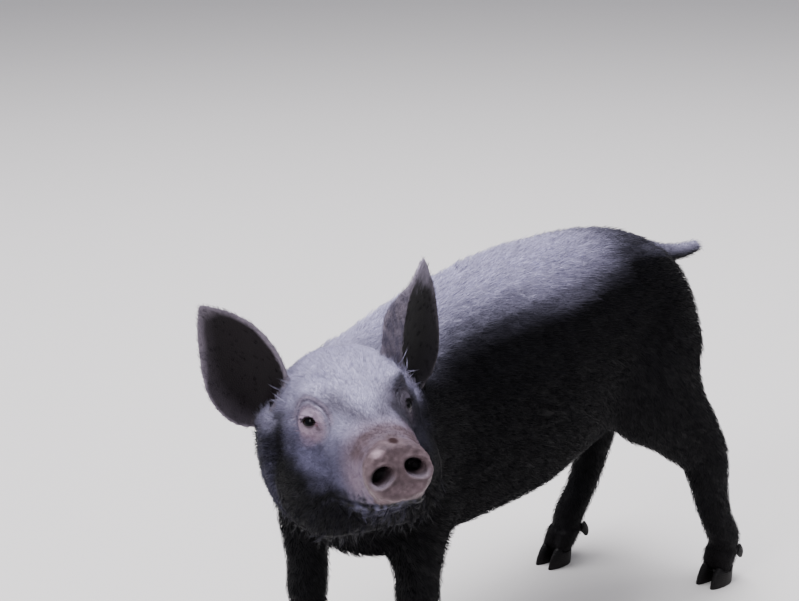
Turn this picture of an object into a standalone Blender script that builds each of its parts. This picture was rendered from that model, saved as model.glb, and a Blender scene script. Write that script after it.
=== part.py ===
"""A young black domestic pig, life size, standing with its head turned to its left and raised.

Metres, +X from the tail to the chest, +Y to the pig's left, +Z up, on the ground at Z = 0.
The head is modelled in a frame of its own: its origin is midway between the eyes, +X to the snout.
"""

import math
from collections import namedtuple

import bmesh
import bpy
from mathutils import Matrix, Vector

GAP = 0.0003
CLEARANCE = 0.0005
CLAW_CLEARANCE = 0.0008
RING_POINTS = 28
STEPS = 5

BACK_HEIGHT = 0.384
BELLY_HEIGHT = 0.158
RUMP_X = -0.243
CHEST_X = 0.196
TRUNK_HALF_WIDTH = 0.086

HEAD_PLACE = Vector((0.251, 0.111, 0.331))
HEAD_TURN = math.radians(61.2)
HEAD_LIFT = math.radians(14.3)
HEAD_ROLL = math.radians(4.1)
HEAD_FRAME = (
    Matrix.Translation(HEAD_PLACE)
    @ Matrix.Rotation(HEAD_TURN, 4, "Z")
    @ Matrix.Rotation(-HEAD_LIFT, 4, "Y")
    @ Matrix.Rotation(HEAD_ROLL, 4, "X")
)

EYE_SPREAD = 0.0330
EYE_HEIGHT = 0.005
EYE_FORWARD = 0.004
EYE_RADIUS = 0.0080
LID_HALF_LENGTH = 0.0070
LID_HALF_OPENING = 0.0042
DISC_FORWARD = 0.103
DISC_HEIGHT = -0.025
DISC_HALF_WIDTH = 0.0248
DISC_HALF_HEIGHT = 0.0208
DISC_PROFILE = (
    (0.086, 0.80), (0.091, 0.91), (0.095, 0.975), (0.0985, 1.0),
    (0.1015, 0.975), (0.1037, 0.90), (0.1046, 0.80),
)
NOSTRIL_SPREAD = 0.0124
NOSTRIL_TILT = math.radians(27)
MOUTH_CORNER = Vector((0.036, 0.0, -0.047))
MOUTH_FRONT = Vector((0.096, 0.0, -0.0455))

EAR_LENGTH = 0.083
EAR_THICKNESS = 0.0032
EAR_BASE = Vector((-0.038, 0.050, 0.031))
EAR_YAW = {1: math.radians(48), -1: math.radians(33)}
EAR_SPLAY = {1: 0.30, -1: 0.47}
EAR_HOOK = {1: 0.001, -1: 0.008}
EAR_FOLD = {1: 0.016, -1: 0.002}

CLAW_LENGTH = 0.034
CLAW_WIDTH = 0.0152
CLAW_SPREAD = 0.0086
FETLOCK_HEIGHT = 0.044

NECK_RINGS = 12
NECK_SQUARE = 2.35
NECK_AT_BACK = Vector((0.080, 0.072, 0.098))
NECK_AT_HEAD = Vector((0.068, 0.055, 0.074))
LID_STEPS = 20
LID_SIDES = 8
EAR_COLUMNS = 9
FOLD_COLUMNS = 2
CLAW_POINTS = 16

BODY_VOXEL = 0.0040
HEAD_VOXEL = 0.0022
EAR_VOXEL = 0.0010
BODY_TRIANGLES = 5000
HEAD_TRIANGLES = 3000
EAR_TRIANGLES = 900

Girth = namedtuple("Girth", "along top widest bottom half square")
Joint = namedtuple("Joint", "x y z long wide")
Leg = namedtuple("Leg", "names tops rear front inner lean")
EarRow = namedtuple("EarRow", "along inner outer cup")


# Materials

def finish(name, colour, roughness):
    """A Principled material of one colour."""
    material = bpy.data.materials.new(name)
    material.use_nodes = True
    shader = material.node_tree.nodes["Principled BSDF"]
    shader.inputs["Base Color"].default_value = (*colour, 1.0)
    shader.inputs["Roughness"].default_value = roughness
    shader.inputs["Metallic"].default_value = 0.0
    return material


COAT = (0.022, 0.022, 0.027)
EAR_COLOUR = (0.035, 0.028, 0.030)
SNOUT_COLOUR = (0.26, 0.19, 0.19)
EYE_COLOUR = (0.012, 0.009, 0.008)
CLAW_COLOUR = (0.045, 0.038, 0.035)


# Mesh helpers

def mesh_object(name, shape, home):
    """Makes an object of a bmesh, in a collection."""
    mesh = bpy.data.meshes.new(name)
    shape.to_mesh(mesh)
    shape.free()
    made = bpy.data.objects.new(name, mesh)
    home.objects.link(made)
    return made


def bake(thing):
    """Replaces the object's mesh by what its modifiers make of it."""
    graph = bpy.context.evaluated_depsgraph_get()
    mesh = bpy.data.meshes.new_from_object(thing.evaluated_get(graph))
    thing.modifiers.clear()
    thing.data = mesh
    return thing


def copy_of(thing, name):
    made = thing.copy()
    made.data = thing.data.copy()
    made.name = name
    thing.users_collection[0].objects.link(made)
    return made


def remove(thing):
    bpy.data.objects.remove(thing, do_unlink=True)


def largest_surface(thing):
    """Keeps only the closed surface with the most faces."""
    shape = bmesh.new()
    shape.from_mesh(thing.data)
    left = set(shape.verts)
    groups = []
    while left:
        group = {left.pop()}
        edge = list(group)
        while edge:
            near = [e.other_vert(v) for v in edge for e in v.link_edges]
            edge = [v for v in set(near) if v not in group]
            group.update(edge)
        left -= group
        groups.append(group)
    kept = max(groups, key=len)
    bmesh.ops.delete(shape, geom=[v for v in shape.verts if v not in kept], context="VERTS")
    shape.to_mesh(thing.data)
    shape.free()
    return thing


def combine(thing, other, operation):
    """A Boolean of two closed bodies, applied to the first."""
    modifier = thing.modifiers.new(operation, "BOOLEAN")
    modifier.operation = operation
    modifier.object = other
    modifier.solver = "EXACT"
    return bake(thing)


def grown(thing, name, by):
    """A copy whose surface lies this far out."""
    made = copy_of(thing, name)
    modifier = made.modifiers.new("grow", "DISPLACE")
    modifier.strength = by
    modifier.mid_level = 0.0
    return bake(made)


def clear_of(thing, neighbour, clearance=CLEARANCE):
    """Cuts a body back to a neighbour's surface, leaving the gap."""
    cutter = grown(neighbour, "cutter", clearance)
    combine(thing, cutter, "DIFFERENCE")
    remove(cutter)
    return largest_surface(thing)


def fused(name, pieces, voxel, rounds, triangles):
    """One soft body of overlapping lofts: remeshed, smoothed and thinned."""
    shape = bmesh.new()
    for piece in pieces:
        shape.from_mesh(piece.data)
        remove(piece)
    body = mesh_object(name, shape, PARTS)
    remesh = body.modifiers.new("remesh", "REMESH")
    remesh.mode = "VOXEL"
    remesh.voxel_size = voxel
    smooth = body.modifiers.new("smooth", "SMOOTH")
    smooth.factor = 0.5
    smooth.iterations = rounds
    bake(body)
    thin = body.modifiers.new("thin", "DECIMATE")
    thin.ratio = triangles / (2 * len(body.data.polygons))
    bake(body)
    return largest_surface(body)


# Lofts

def between(stations, steps=STEPS):
    """The stations, with smooth ones between them read from a curve that passes through them all."""
    kind = type(stations[0])
    found = []
    for index in range(len(stations) - 1):
        a = stations[max(index - 1, 0)]
        b, c = stations[index], stations[index + 1]
        d = stations[min(index + 2, len(stations) - 1)]
        for step in range(steps):
            t = step / steps
            found.append(kind(*(
                0.5 * (2 * q + (r - p) * t + (2 * p - 5 * q + 4 * r - s) * t**2
                       + (3 * q - p - 3 * r + s) * t**3)
                for p, q, r, s in zip(a, b, c, d)
            )))
    found.append(stations[-1])
    return found


def oval(centre, side, up, half, rise, drop, square=2.0, count=RING_POINTS):
    """One closed section, by half its width and how far it rises above and drops below its centre."""
    points = []
    for index in range(count):
        angle = 2 * math.pi * index / count
        across, lift = (
            math.copysign(abs(v) ** (2 / square), v) for v in (math.cos(angle), math.sin(angle))
        )
        points.append(centre + side * half * across + up * (rise if lift > 0 else drop) * lift)
    return points


def loft(name, rings):
    """A closed body through rings of points, flat at its two ends."""
    shape = bmesh.new()
    rows = [[shape.verts.new(point) for point in ring] for ring in rings]
    for near, far in zip(rows, rows[1:]):
        for index in range(len(near)):
            after = (index + 1) % len(near)
            shape.faces.new((near[index], near[after], far[after], far[index]))
    shape.faces.new(reversed(rows[0]))
    shape.faces.new(rows[-1])
    bmesh.ops.recalc_face_normals(shape, faces=shape.faces)
    return mesh_object(name, shape, PARTS)


def trunk_loft(name, girths, frame=None):
    """A body along X from its girths, in the world or in another frame."""
    frame = frame or Matrix.Identity(4)
    rings = []
    for girth in between(girths):
        centre = Vector((girth.along, 0, girth.widest))
        ring = oval(
            centre, Vector((0, 1, 0)), Vector((0, 0, 1)), girth.half,
            girth.top - girth.widest, girth.widest - girth.bottom, girth.square,
        )
        rings.append([frame @ point for point in ring])
    return loft(name, rings)


def limb_loft(name, joints, frame=None, count=RING_POINTS, steps=STEPS):
    """A limb through its joints, each section square to the limb's own line."""
    frame = frame or Matrix.Identity(4)
    joints = between(joints, steps)
    line = [Vector((j.x, j.y, j.z)) for j in joints]
    rings = []
    for index, joint in enumerate(joints):
        ahead = (line[min(index + 1, len(line) - 1)] - line[max(index - 1, 0)]).normalized()
        side = (Vector((0, 1, 0)) - ahead * ahead.y).normalized()
        fore = side.cross(ahead)
        ring = oval(line[index], side, fore, joint.wide, joint.long, joint.long, count=count)
        rings.append([frame @ point for point in ring])
    return loft(name, rings)


def blob(name, centre, size, frame=None):
    """A rounded swelling of muscle or fat, or an oval cutter."""
    shape = bmesh.new()
    bmesh.ops.create_uvsphere(shape, u_segments=20, v_segments=12, radius=1.0)
    bmesh.ops.transform(
        shape,
        matrix=(frame or Matrix.Identity(4)) @ Matrix.Translation(centre) @ Matrix.Diagonal((*size, 1)),
        verts=shape.verts,
    )
    return mesh_object(name, shape, PARTS)


# The planes that part the body

THROAT = -0.058
LEG_REACH = 0.19
BELOW_GROUND = -0.05
NECK_PLANE = (
    Matrix.Translation((0.158, 0, 0.30))
    @ Matrix.Rotation(math.radians(10), 4, "Z")
    @ Matrix.Rotation(math.radians(-24), 4, "Y")
)
LEGS = (
    Leg(("foreleg", "forefoot"), (0.168, 0.086), 0.06, 0.24, 0.034, math.radians(16)),
    Leg(("thigh", "shank", "hindfoot"), (0.285, 0.176, 0.104), -0.40, -0.095, 0.022, math.radians(10)),
)


# The trunk, neck and legs

def trunk():
    top, low, wide = BACK_HEIGHT, BELLY_HEIGHT, TRUNK_HALF_WIDTH
    girths = (
        Girth(RUMP_X - 0.022, top - 0.060, 0.292, 0.252, 0.028, 2.0),
        Girth(RUMP_X - 0.011, top - 0.041, 0.295, 0.234, 0.049, 2.0),
        Girth(RUMP_X + 0.010, top - 0.027, 0.298, 0.220, 0.065, 2.1),
        Girth(RUMP_X + 0.040, top - 0.012, 0.298, 0.208, 0.072, 2.2),
        Girth(RUMP_X + 0.085, top - 0.003, 0.292, 0.192, 0.077, 2.2),
        Girth(RUMP_X + 0.145, top, 0.280, 0.174, wide - 0.006, 2.2),
        Girth(-0.040, top - 0.002, 0.268, low + 0.002, wide, 2.2),
        Girth(0.020, top - 0.011, 0.262, low, wide, 2.2),
        Girth(0.080, top - 0.025, 0.258, low - 0.001, wide - 0.003, 2.2),
        Girth(0.125, top - 0.038, 0.256, low - 0.002, wide - 0.006, 2.1),
        Girth(0.160, top - 0.048, 0.250, low + 0.002, wide - 0.010, 2.2),
        Girth(0.184, top - 0.064, 0.248, low + 0.018, wide - 0.020, 2.2),
        Girth(CHEST_X + 0.004, top - 0.090, 0.248, low + 0.054, wide - 0.044, 2.1),
    )
    return trunk_loft("trunk", girths)


def neck():
    """Bends from the shoulders to the back of the head."""
    start, start_way = Vector((0.070, 0.000, 0.272)), Vector((0.16, 0.0, 0.0))
    rear = HEAD_FRAME @ Vector((-0.045, 0, -0.018))
    end_way = (HEAD_FRAME.to_3x3() @ Vector((1, 0, 0.05))).normalized() * 0.12
    head_side = HEAD_FRAME.to_3x3() @ Vector((0, 1, 0))
    head_up = HEAD_FRAME.to_3x3() @ Vector((0, 0, 1))
    rings = []
    for index in range(NECK_RINGS + 1):
        t = index / NECK_RINGS
        centre = (
            start * (2 * t**3 - 3 * t**2 + 1) + start_way * (t**3 - 2 * t**2 + t)
            + rear * (-2 * t**3 + 3 * t**2) + end_way * (t**3 - t**2)
        )
        side = Vector((0, 1, 0)).lerp(head_side, t).normalized()
        up = Vector((0, 0, 1)).lerp(head_up, t).normalized()
        half, rise, drop = NECK_AT_BACK.lerp(NECK_AT_HEAD, t)
        rings.append(oval(centre, side, up, half, rise, drop, NECK_SQUARE))
    for reach, size in ((0.012, 0.88), (0.022, 0.62), (0.028, 0.30)):
        centre = rear + end_way.normalized() * reach
        rings.append(oval(centre, side, up, half * size, rise * size, drop * size, NECK_SQUARE))
    return loft("neck", rings)


def foreleg(name, side, ahead):
    """The shoulder and leg down to the fetlock, moved ahead or back with the step."""
    bulge = SHOULDER_BULGE[side]
    joints = (
        Joint(0.105, side * 0.040, 0.315, 0.036, 0.024),
        Joint(0.118 + 0.3 * ahead, side * (0.047 + bulge / 2), 0.270, 0.052, 0.034 + bulge / 3),
        Joint(0.130 + 0.5 * ahead, side * (0.053 + bulge), 0.225, 0.050, 0.032 + bulge / 2),
        Joint(0.134 + 0.8 * ahead, side * (0.058 + bulge), 0.185, 0.032, 0.027 + bulge / 2),
        Joint(0.138 + ahead, side * (0.060 + bulge / 2), 0.152, 0.0220, 0.0205 + bulge / 4),
        Joint(0.140 + ahead, side * 0.061, 0.124, 0.0200, 0.0190),
        Joint(0.142 + ahead, side * 0.061, 0.100, 0.0198, 0.0190),
        Joint(0.139 + ahead, side * 0.062, 0.080, 0.0160, 0.0158),
        Joint(0.138 + ahead, side * 0.062, 0.062, 0.0145, 0.0145),
        Joint(0.141 + ahead, side * 0.062, FETLOCK_HEIGHT, 0.0160, 0.0165),
        Joint(0.146 + ahead, side * 0.062, FETLOCK_HEIGHT - 0.012, 0.0145, 0.0150),
    )
    return limb_loft(name, joints)


def hindleg(name, side, hock, fetlock):
    """The ham and leg down to the fetlock, with the hock and the fetlock placed along X."""
    back = hock + 0.25
    step = fetlock - hock
    joints = (
        Joint(-0.165, side * 0.036, 0.335, 0.045, 0.026),
        Joint(-0.176, side * 0.044, 0.300, 0.072, 0.034),
        Joint(-0.182 + 0.06 * back, side * 0.050, 0.262, 0.078, 0.037),
        Joint(-0.189 + 0.35 * back, side * 0.056, 0.226, 0.064, 0.033),
        Joint(-0.208 + 0.65 * back, side * 0.065, 0.194, 0.042, 0.027),
        Joint(hock + 0.016, side * 0.071, 0.160, 0.0320, 0.0225),
        Joint(hock + 0.006, side * 0.074, 0.138, 0.0270, 0.0205),
        Joint(hock + 0.004 + 0.12 * step, side * 0.075, 0.112, 0.0225, 0.0190),
        Joint(hock + 0.002 + 0.50 * step, side * 0.075, 0.075, 0.0180, 0.0160),
        Joint(fetlock, side * 0.075, FETLOCK_HEIGHT + 0.002, 0.0180, 0.0172),
        Joint(fetlock + 0.005, side * 0.075, FETLOCK_HEIGHT - 0.012, 0.0145, 0.0150),
    )
    return limb_loft(name, joints)


def digits(name, x, y, pastern):
    """The two toes of one foot, down into its claws."""
    pieces = []
    for way in (-1, 1):
        joints = (
            Joint(x - pastern, y + way * 0.0050, FETLOCK_HEIGHT - 0.004, 0.0125, 0.0105),
            Joint(x - 0.4 * pastern, y + way * 0.0075, 0.028, 0.0118, 0.0090),
            Joint(x + 0.001, y + way * CLAW_SPREAD, 0.016, 0.0105, 0.0066),
            Joint(x + 0.003, y + way * CLAW_SPREAD, 0.011, 0.0070, 0.0045),
        )
        pieces.append(limb_loft(f"{name}_{way}", joints))
    return pieces


FEET = {
    "fore_left": (0.149, 0.062),
    "fore_right": (0.163, -0.062),
    "hind_left": (-0.283, 0.075),
    "hind_right": (-0.204, -0.073),
}
PASTERN = {"fore_left": 0.010, "fore_right": 0.010, "hind_left": 0.010, "hind_right": 0.021}
SHOULDER_BULGE = {1: -0.002, -1: 0.009}
HOCKS = {"left": -0.262, "right": -0.274}


def flesh():
    """Everything but the head, tail and claws, as one soft body."""
    pieces = [trunk(), neck()]
    pieces.append(foreleg("foreleg_l", 1, FEET["fore_left"][0] - 0.149))
    pieces.append(foreleg("foreleg_r", -1, FEET["fore_right"][0] - 0.149))
    for name, side in (("left", 1), ("right", -1)):
        foot = f"hind_{name}"
        pieces.append(hindleg(f"leg_{foot}", side, HOCKS[name], FEET[foot][0] - PASTERN[foot]))
    for name, (x, y) in FEET.items():
        pieces.extend(digits(f"toes_{name}", x, y, PASTERN[name]))
    return fused("torso", pieces, BODY_VOXEL, 9, BODY_TRIANGLES)


# The head

def skull():
    """The head's own loft, from behind the ears to the snout's disc."""
    girths = (
        Girth(-0.100, 0.030, -0.015, -0.058, 0.040, 2.0),
        Girth(-0.075, 0.046, -0.015, -0.070, 0.052, 2.1),
        Girth(-0.048, 0.054, -0.014, -0.079, 0.057, 2.2),
        Girth(-0.022, 0.051, -0.014, -0.080, 0.054, 2.3),
        Girth(0.000, 0.041, -0.013, -0.076, 0.0440, 2.4),
        Girth(0.020, 0.026, -0.016, -0.070, 0.0355, 2.4),
        Girth(0.040, 0.014, -0.021, -0.064, 0.0310, 2.4),
        Girth(0.060, 0.006, -0.024, -0.059, 0.0282, 2.4),
        Girth(0.080, 0.001, -0.025, -0.054, 0.0250, 2.3),
        Girth(0.096, -0.004, -0.025, -0.047, 0.0226, 2.2),
    )
    return trunk_loft("skull", girths, HEAD_FRAME)


def disc():
    """The flat rooting disc with its rounded rim."""
    rings = []
    for along, size in DISC_PROFILE:
        ring = oval(
            Vector((along, 0, DISC_HEIGHT)), Vector((0, 1, 0)), Vector((-0.08, 0, 1)),
            DISC_HALF_WIDTH * size, DISC_HALF_HEIGHT * size, DISC_HALF_HEIGHT * size, 2.3,
        )
        rings.append([HEAD_FRAME @ point for point in ring])
    return loft("disc", rings)


def head_flesh():
    """Skull, cheeks, jowls, brows, lips and disc as one soft body."""
    pieces = [skull(), disc(), neck()]
    for side in (-1, 1):
        cheek = Vector((-0.024, side * 0.023, -0.041))
        brow = Vector((-0.006, side * 0.026, 0.022))
        pieces.append(blob("cheek", cheek, (0.060, 0.0385, 0.043), HEAD_FRAME))
        pieces.append(blob("brow", brow, (0.020, 0.016, 0.014), HEAD_FRAME))
        lip = (
            Joint(MOUTH_FRONT.x, side * 0.010, MOUTH_FRONT.z, 0.005, 0.006),
            Joint(0.078, side * 0.0175, -0.0480, 0.0052, 0.0048),
            Joint(0.056, side * 0.0215, -0.0495, 0.0052, 0.0048),
            Joint(MOUTH_CORNER.x, side * 0.0260, MOUTH_CORNER.z, 0.005, 0.005),
        )
        pieces.append(limb_loft("lip", lip, HEAD_FRAME))
    return fused("head", pieces, HEAD_VOXEL, 5, HEAD_TRIANGLES)


def eye(name, side):
    """An eyeball in its socket."""
    shape = bmesh.new()
    bmesh.ops.create_uvsphere(shape, u_segments=16, v_segments=10, radius=EYE_RADIUS)
    centre = HEAD_FRAME @ Vector((EYE_FORWARD, side * EYE_SPREAD, EYE_HEIGHT))
    bmesh.ops.translate(shape, vec=centre, verts=shape.verts)
    return mesh_object(name, shape, PARTS)


def eye_axes(side):
    """Along the slit, up across it and out of the eye, in the head's frame."""
    outward = Vector((0.74, side * 0.64, 0.20)).normalized()
    slope = Vector((1, 0, -0.12)) * -side
    along = (slope - outward * outward.dot(slope)).normalized()
    return along, outward.cross(along), outward


def slit(name, side):
    """The almond opening between the lids, from the eyeball outwards."""
    axes = Matrix(eye_axes(side)).transposed().to_4x4()
    centre = Matrix.Translation((EYE_FORWARD, side * EYE_SPREAD, EYE_HEIGHT))
    size = (LID_HALF_LENGTH - 0.0008, LID_HALF_OPENING - 0.0009, 0.0160)
    return blob(name, Vector((0, 0, 0.0110)), size, HEAD_FRAME @ centre @ axes)


def lids(name, side):
    """Two swollen rims round the eye's slit."""
    along, up, outward = eye_axes(side)
    centre = Vector((EYE_FORWARD, side * EYE_SPREAD, EYE_HEIGHT)) + outward * 0.0072
    shape = bmesh.new()
    rows = []
    for index in range(LID_STEPS):
        angle = 2 * math.pi * index / LID_STEPS
        x, y = math.cos(angle), math.sin(angle)
        middle = centre + along * LID_HALF_LENGTH * x + up * LID_HALF_OPENING * y
        middle -= outward * 0.0018 * x * x
        out = (along * LID_HALF_OPENING * x + up * LID_HALF_LENGTH * y).normalized()
        thick = 0.0026 if y > 0 else 0.0021
        row = []
        for turn in (2 * math.pi * k / LID_SIDES for k in range(LID_SIDES)):
            point = middle + (out * math.cos(turn) + outward * math.sin(turn)) * thick
            row.append(shape.verts.new(HEAD_FRAME @ point))
        rows.append(row)
    for index in range(LID_STEPS):
        near, far = rows[index], rows[(index + 1) % LID_STEPS]
        for k in range(LID_SIDES):
            after = (k + 1) % LID_SIDES
            shape.faces.new((near[k], near[after], far[after], far[k]))
    bmesh.ops.recalc_face_normals(shape, faces=shape.faces)
    return mesh_object(name, shape, PARTS)


def nostril(name, side):
    """The slanting oval hole that a nostril leaves in the disc, its inner end the higher."""
    place = Matrix.Translation((DISC_FORWARD, side * NOSTRIL_SPREAD, DISC_HEIGHT + 0.0012 * side))
    slant = Matrix.Rotation(-side * NOSTRIL_TILT, 4, "X")
    joints = (
        Joint(0.006, 0.0, 0.0, 0.0060, 0.0086),
        Joint(-0.001, 0.0, 0.0, 0.0053, 0.0078),
        Joint(-0.009, -side * 0.001, 0.001, 0.0036, 0.0050),
    )
    return limb_loft(name, joints, HEAD_FRAME @ place @ slant, 16, 2)


def ear_sheet(name, side):
    """A broad cupped leaf: its outer edge hangs past its base in a lobe, its inner one folds back."""
    frame_in = Matrix.Rotation(side * EAR_YAW[side], 3, "Z")
    up = Vector((0.06, side * EAR_SPLAY[side], 0.86)).normalized()
    facing = frame_in @ Vector((1, 0, 0))
    facing = (facing - up * facing.dot(up)).normalized()
    out = facing.cross(up) * -side
    base = Vector((EAR_BASE.x, side * EAR_BASE.y, EAR_BASE.z))
    shape = bmesh.new()
    rows = []
    for along, inner, outer, cup in between(EAR_ROWS, 2):
        hook = EAR_HOOK[side] * (max(along - 0.6, 0) / 0.4) ** 2
        fold = (out + facing).normalized() * EAR_FOLD[side] * max(0.02, min(1.0, 2.3 - 2.9 * along))
        row = []
        for column in range(-FOLD_COLUMNS, EAR_COLUMNS):
            v = max(2 * column / (EAR_COLUMNS - 1) - 1, -1)
            across = inner + (outer - inner) * (v + 1) / 2 + hook
            point = base + up * along * EAR_LENGTH + out * across + facing * cup * (v * v - 0.6)
            point += fold * min(column, 0) / FOLD_COLUMNS
            row.append(shape.verts.new(HEAD_FRAME @ point))
        rows.append(row)
    for near, far in zip(rows, rows[1:]):
        for column in range(len(near) - 1):
            shape.faces.new((near[column], near[column + 1], far[column + 1], far[column]))
    ear = mesh_object("sheet", shape, PARTS)
    shell = ear.modifiers.new("shell", "SOLIDIFY")
    shell.thickness = EAR_THICKNESS
    shell.offset = 0.0
    return fused(name, [bake(ear)], EAR_VOXEL, 2, EAR_TRIANGLES)


EAR_ROWS = (
    EarRow(-0.20, 0.024, 0.034, 0.010),
    EarRow(-0.10, 0.002, 0.042, 0.013),
    EarRow(0.02, -0.014, 0.0455, 0.015),
    EarRow(0.15, -0.0185, 0.0468, 0.014),
    EarRow(0.32, -0.0200, 0.0450, 0.011),
    EarRow(0.55, -0.0185, 0.0360, 0.007),
    EarRow(0.76, -0.0130, 0.0245, 0.004),
    EarRow(0.90, -0.0065, 0.0125, 0.002),
    EarRow(1.00, -0.0010, 0.0018, 0.000),
)


# Tail and claws

def tail(name):
    """Carried low behind, its tip turned to the left."""
    joints = (
        Joint(-0.225, 0.000, 0.343, 0.0130, 0.0130),
        Joint(-0.243, 0.001, 0.344, 0.0110, 0.0110),
        Joint(-0.261, 0.006, 0.341, 0.0092, 0.0092),
        Joint(-0.278, 0.013, 0.340, 0.0078, 0.0078),
        Joint(-0.291, 0.019, 0.342, 0.0066, 0.0066),
        Joint(-0.300, 0.023, 0.345, 0.0050, 0.0050),
    )
    return limb_loft(name, joints, count=14, steps=3)


def claw(name, x, y, way):
    """One hoof claw: flat sole, sloping toe, flatter towards its fellow."""
    rings = []
    for height, length, shift, width in (
        (0.000, 1.00, 0.0060, 0.98), (0.007, 0.95, 0.0045, 1.00), (0.014, 0.84, 0.0022, 0.97),
        (0.019, 0.70, -0.0002, 0.86), (0.022, 0.52, -0.0015, 0.66),
    ):
        ring = []
        for index in range(CLAW_POINTS):
            angle = 2 * math.pi * index / CLAW_POINTS
            taper = 0.90 - 0.22 * math.cos(angle)
            ring.append(Vector((
                x + shift + CLAW_LENGTH / 2 * length * math.cos(angle),
                y + way * CLAW_SPREAD + CLAW_WIDTH / 2 * width * taper * math.sin(angle),
                height,
            )))
        rings.append(ring)
    return loft(name, rings)


def dewclaw(name, x, y, way):
    """One of the two small claws behind the fetlock, which lies at x."""
    joints = (
        Joint(x - 0.001, y + way * 0.0080, 0.041, 0.0052, 0.0052),
        Joint(x - 0.0085, y + way * 0.0105, 0.0345, 0.0058, 0.0052),
        Joint(x - 0.0125, y + way * 0.0115, 0.0275, 0.0044, 0.0040),
        Joint(x - 0.0140, y + way * 0.0118, 0.0220, 0.0020, 0.0018),
    )
    return limb_loft(name, joints, count=9, steps=2)


# Parting the body

def block(name, low, high, frame):
    """A cutting block between two corners, in a frame."""
    shape = bmesh.new()
    bmesh.ops.create_cube(shape, size=1.0)
    low, high = Vector(low), Vector(high)
    placed = frame @ Matrix.Translation((low + high) / 2) @ Matrix.Diagonal((*(high - low), 1))
    bmesh.ops.transform(shape, matrix=placed, verts=shape.verts)
    return mesh_object(name, shape, CUTTERS)


def part_off(body, name, low, high, frame=None):
    """Cuts what lies in a block off a body, as a piece of its own, and leaves the gap between the two."""
    frame = frame or Matrix.Identity(4)
    piece = copy_of(body, name)
    inner = block("inner", low, high, frame)
    combine(piece, inner, "INTERSECT")
    outer = block("outer", [v - GAP for v in low], [v + GAP for v in high], frame)
    combine(body, outer, "DIFFERENCE")
    remove(inner)
    remove(outer)
    largest_surface(body)
    return largest_surface(piece)


def part_leg(torso, side, name, leg):
    """Takes a leg off the torso by a leaning plane, then divides it at its joints."""
    low_y, high_y = sorted(side * reach for reach in (leg.inner, LEG_REACH))
    middle = Vector((0, (low_y + high_y) / 2, leg.tops[0] / 2))
    lean = Matrix.Rotation(side * leg.lean, 4, "X")
    frames = (Matrix.Translation(middle) @ lean @ Matrix.Translation(-middle), None, None)
    found = {}
    piece = torso
    for part, top, frame in zip(leg.names, leg.tops, frames):
        found[f"{part}_{name}"] = piece = part_off(
            piece, f"{part}_{name}", (leg.rear, low_y, BELOW_GROUND), (leg.front, high_y, top), frame
        )
    return found


def part_body(torso):
    """Divides the soft body into neck, torso and the pieces of each leg."""
    remove(part_off(torso, "spare", (THROAT, -0.2, -0.2), (0.2, 0.2, 0.2), HEAD_FRAME))
    found = {"neck": part_off(torso, "neck", (0, -0.2, -0.2), (0.3, 0.2, 0.2), NECK_PLANE)}
    for side, name in ((1, "left"), (-1, "right")):
        for leg in LEGS:
            found.update(part_leg(torso, side, name, leg))
    return found


def part_head(head):
    """Cuts the head from the neck, the snout's disc, and the lower jaw along the mouth."""
    remove(part_off(head, "spare", (-0.5, -0.3, -0.3), (THROAT + GAP, 0.3, 0.3), HEAD_FRAME))
    disc_rear = DISC_FORWARD - 0.011
    return {
        "snout": part_off(head, "snout", (disc_rear, -0.1, -0.1), (0.2, 0.1, 0.1), HEAD_FRAME),
        "lower_jaw": part_off(
            head, "lower_jaw", (MOUTH_CORNER.x, -0.1, -0.2), (0.2, 0.1, MOUTH_CORNER.z), HEAD_FRAME
        ),
    }


def face(head, snout):
    """Lids and sockets in the head and nostrils in the disc."""
    eyes = []
    for side, name in ((1, "left"), (-1, "right")):
        rim = lids("lids", side)
        combine(head, rim, "UNION")
        remove(rim)
        opening = slit("slit", side)
        combine(head, opening, "DIFFERENCE")
        remove(opening)
        ball = eye(f"eye_{name}", side)
        clear_of(head, ball)
        hole = nostril("nostril", side)
        combine(snout, hole, "DIFFERENCE")
        remove(hole)
        eyes.append(ball)
    largest_surface(snout)
    return eyes


def feet(found):
    """Claws and dewclaws, cut back to the toes that carry them."""
    made = []
    for foot, (x, y) in FEET.items():
        end, side = foot.split("_")
        toes = found[f"{end}foot_{side}"]
        for way, place in ((1, "left"), (-1, "right")):
            front = claw(f"claw_{foot}_{place}", x, y, way)
            rear = dewclaw(f"dewclaw_{foot}_{place}", x - PASTERN[foot], y, way)
            made.extend(clear_of(piece, toes, CLAW_CLEARANCE) for piece in (front, rear))
    return made


def main():
    for old in list(bpy.data.objects):
        bpy.data.objects.remove(old, do_unlink=True)
    for home in (PARTS, CUTTERS):
        bpy.context.scene.collection.children.link(home)
    torso = flesh()
    head = head_flesh()
    body = part_body(torso)
    body.update(part_head(head))
    ears = [clear_of(clear_of(ear_sheet(f"ear_{name}", side), head), body["neck"])
            for side, name in ((1, "left"), (-1, "right"))]
    eyes = face(head, body["snout"])
    claws = feet(body)
    tail_piece = clear_of(tail("tail"), torso)
    for things, name, colour, roughness in (
        ([torso, head, tail_piece] + [t for n, t in body.items() if n != "snout"], "coat", COAT, 0.6),
        ([body["snout"]], "snout_skin", SNOUT_COLOUR, 0.5),
        (ears, "ear_skin", EAR_COLOUR, 0.6),
        (eyes, "eye", EYE_COLOUR, 0.1),
        (claws, "claw", CLAW_COLOUR, 0.5),
    ):
        for thing in things:
            thing.data.materials.clear()
            thing.data.materials.append(finish(f"{name}_{thing.name}", colour, roughness))
    everything = list(PARTS.objects)
    corners = [vertex.co for thing in everything for vertex in thing.data.vertices]
    middle = Vector([(min(c[k] for c in corners) + max(c[k] for c in corners)) / 2 for k in (0, 1)] + [0])
    for thing in everything:
        thing.data.transform(Matrix.Translation(-middle))


PARTS = bpy.data.collections.new("domestic_pig")
CUTTERS = bpy.data.collections.new("cutters")
main()
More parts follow.
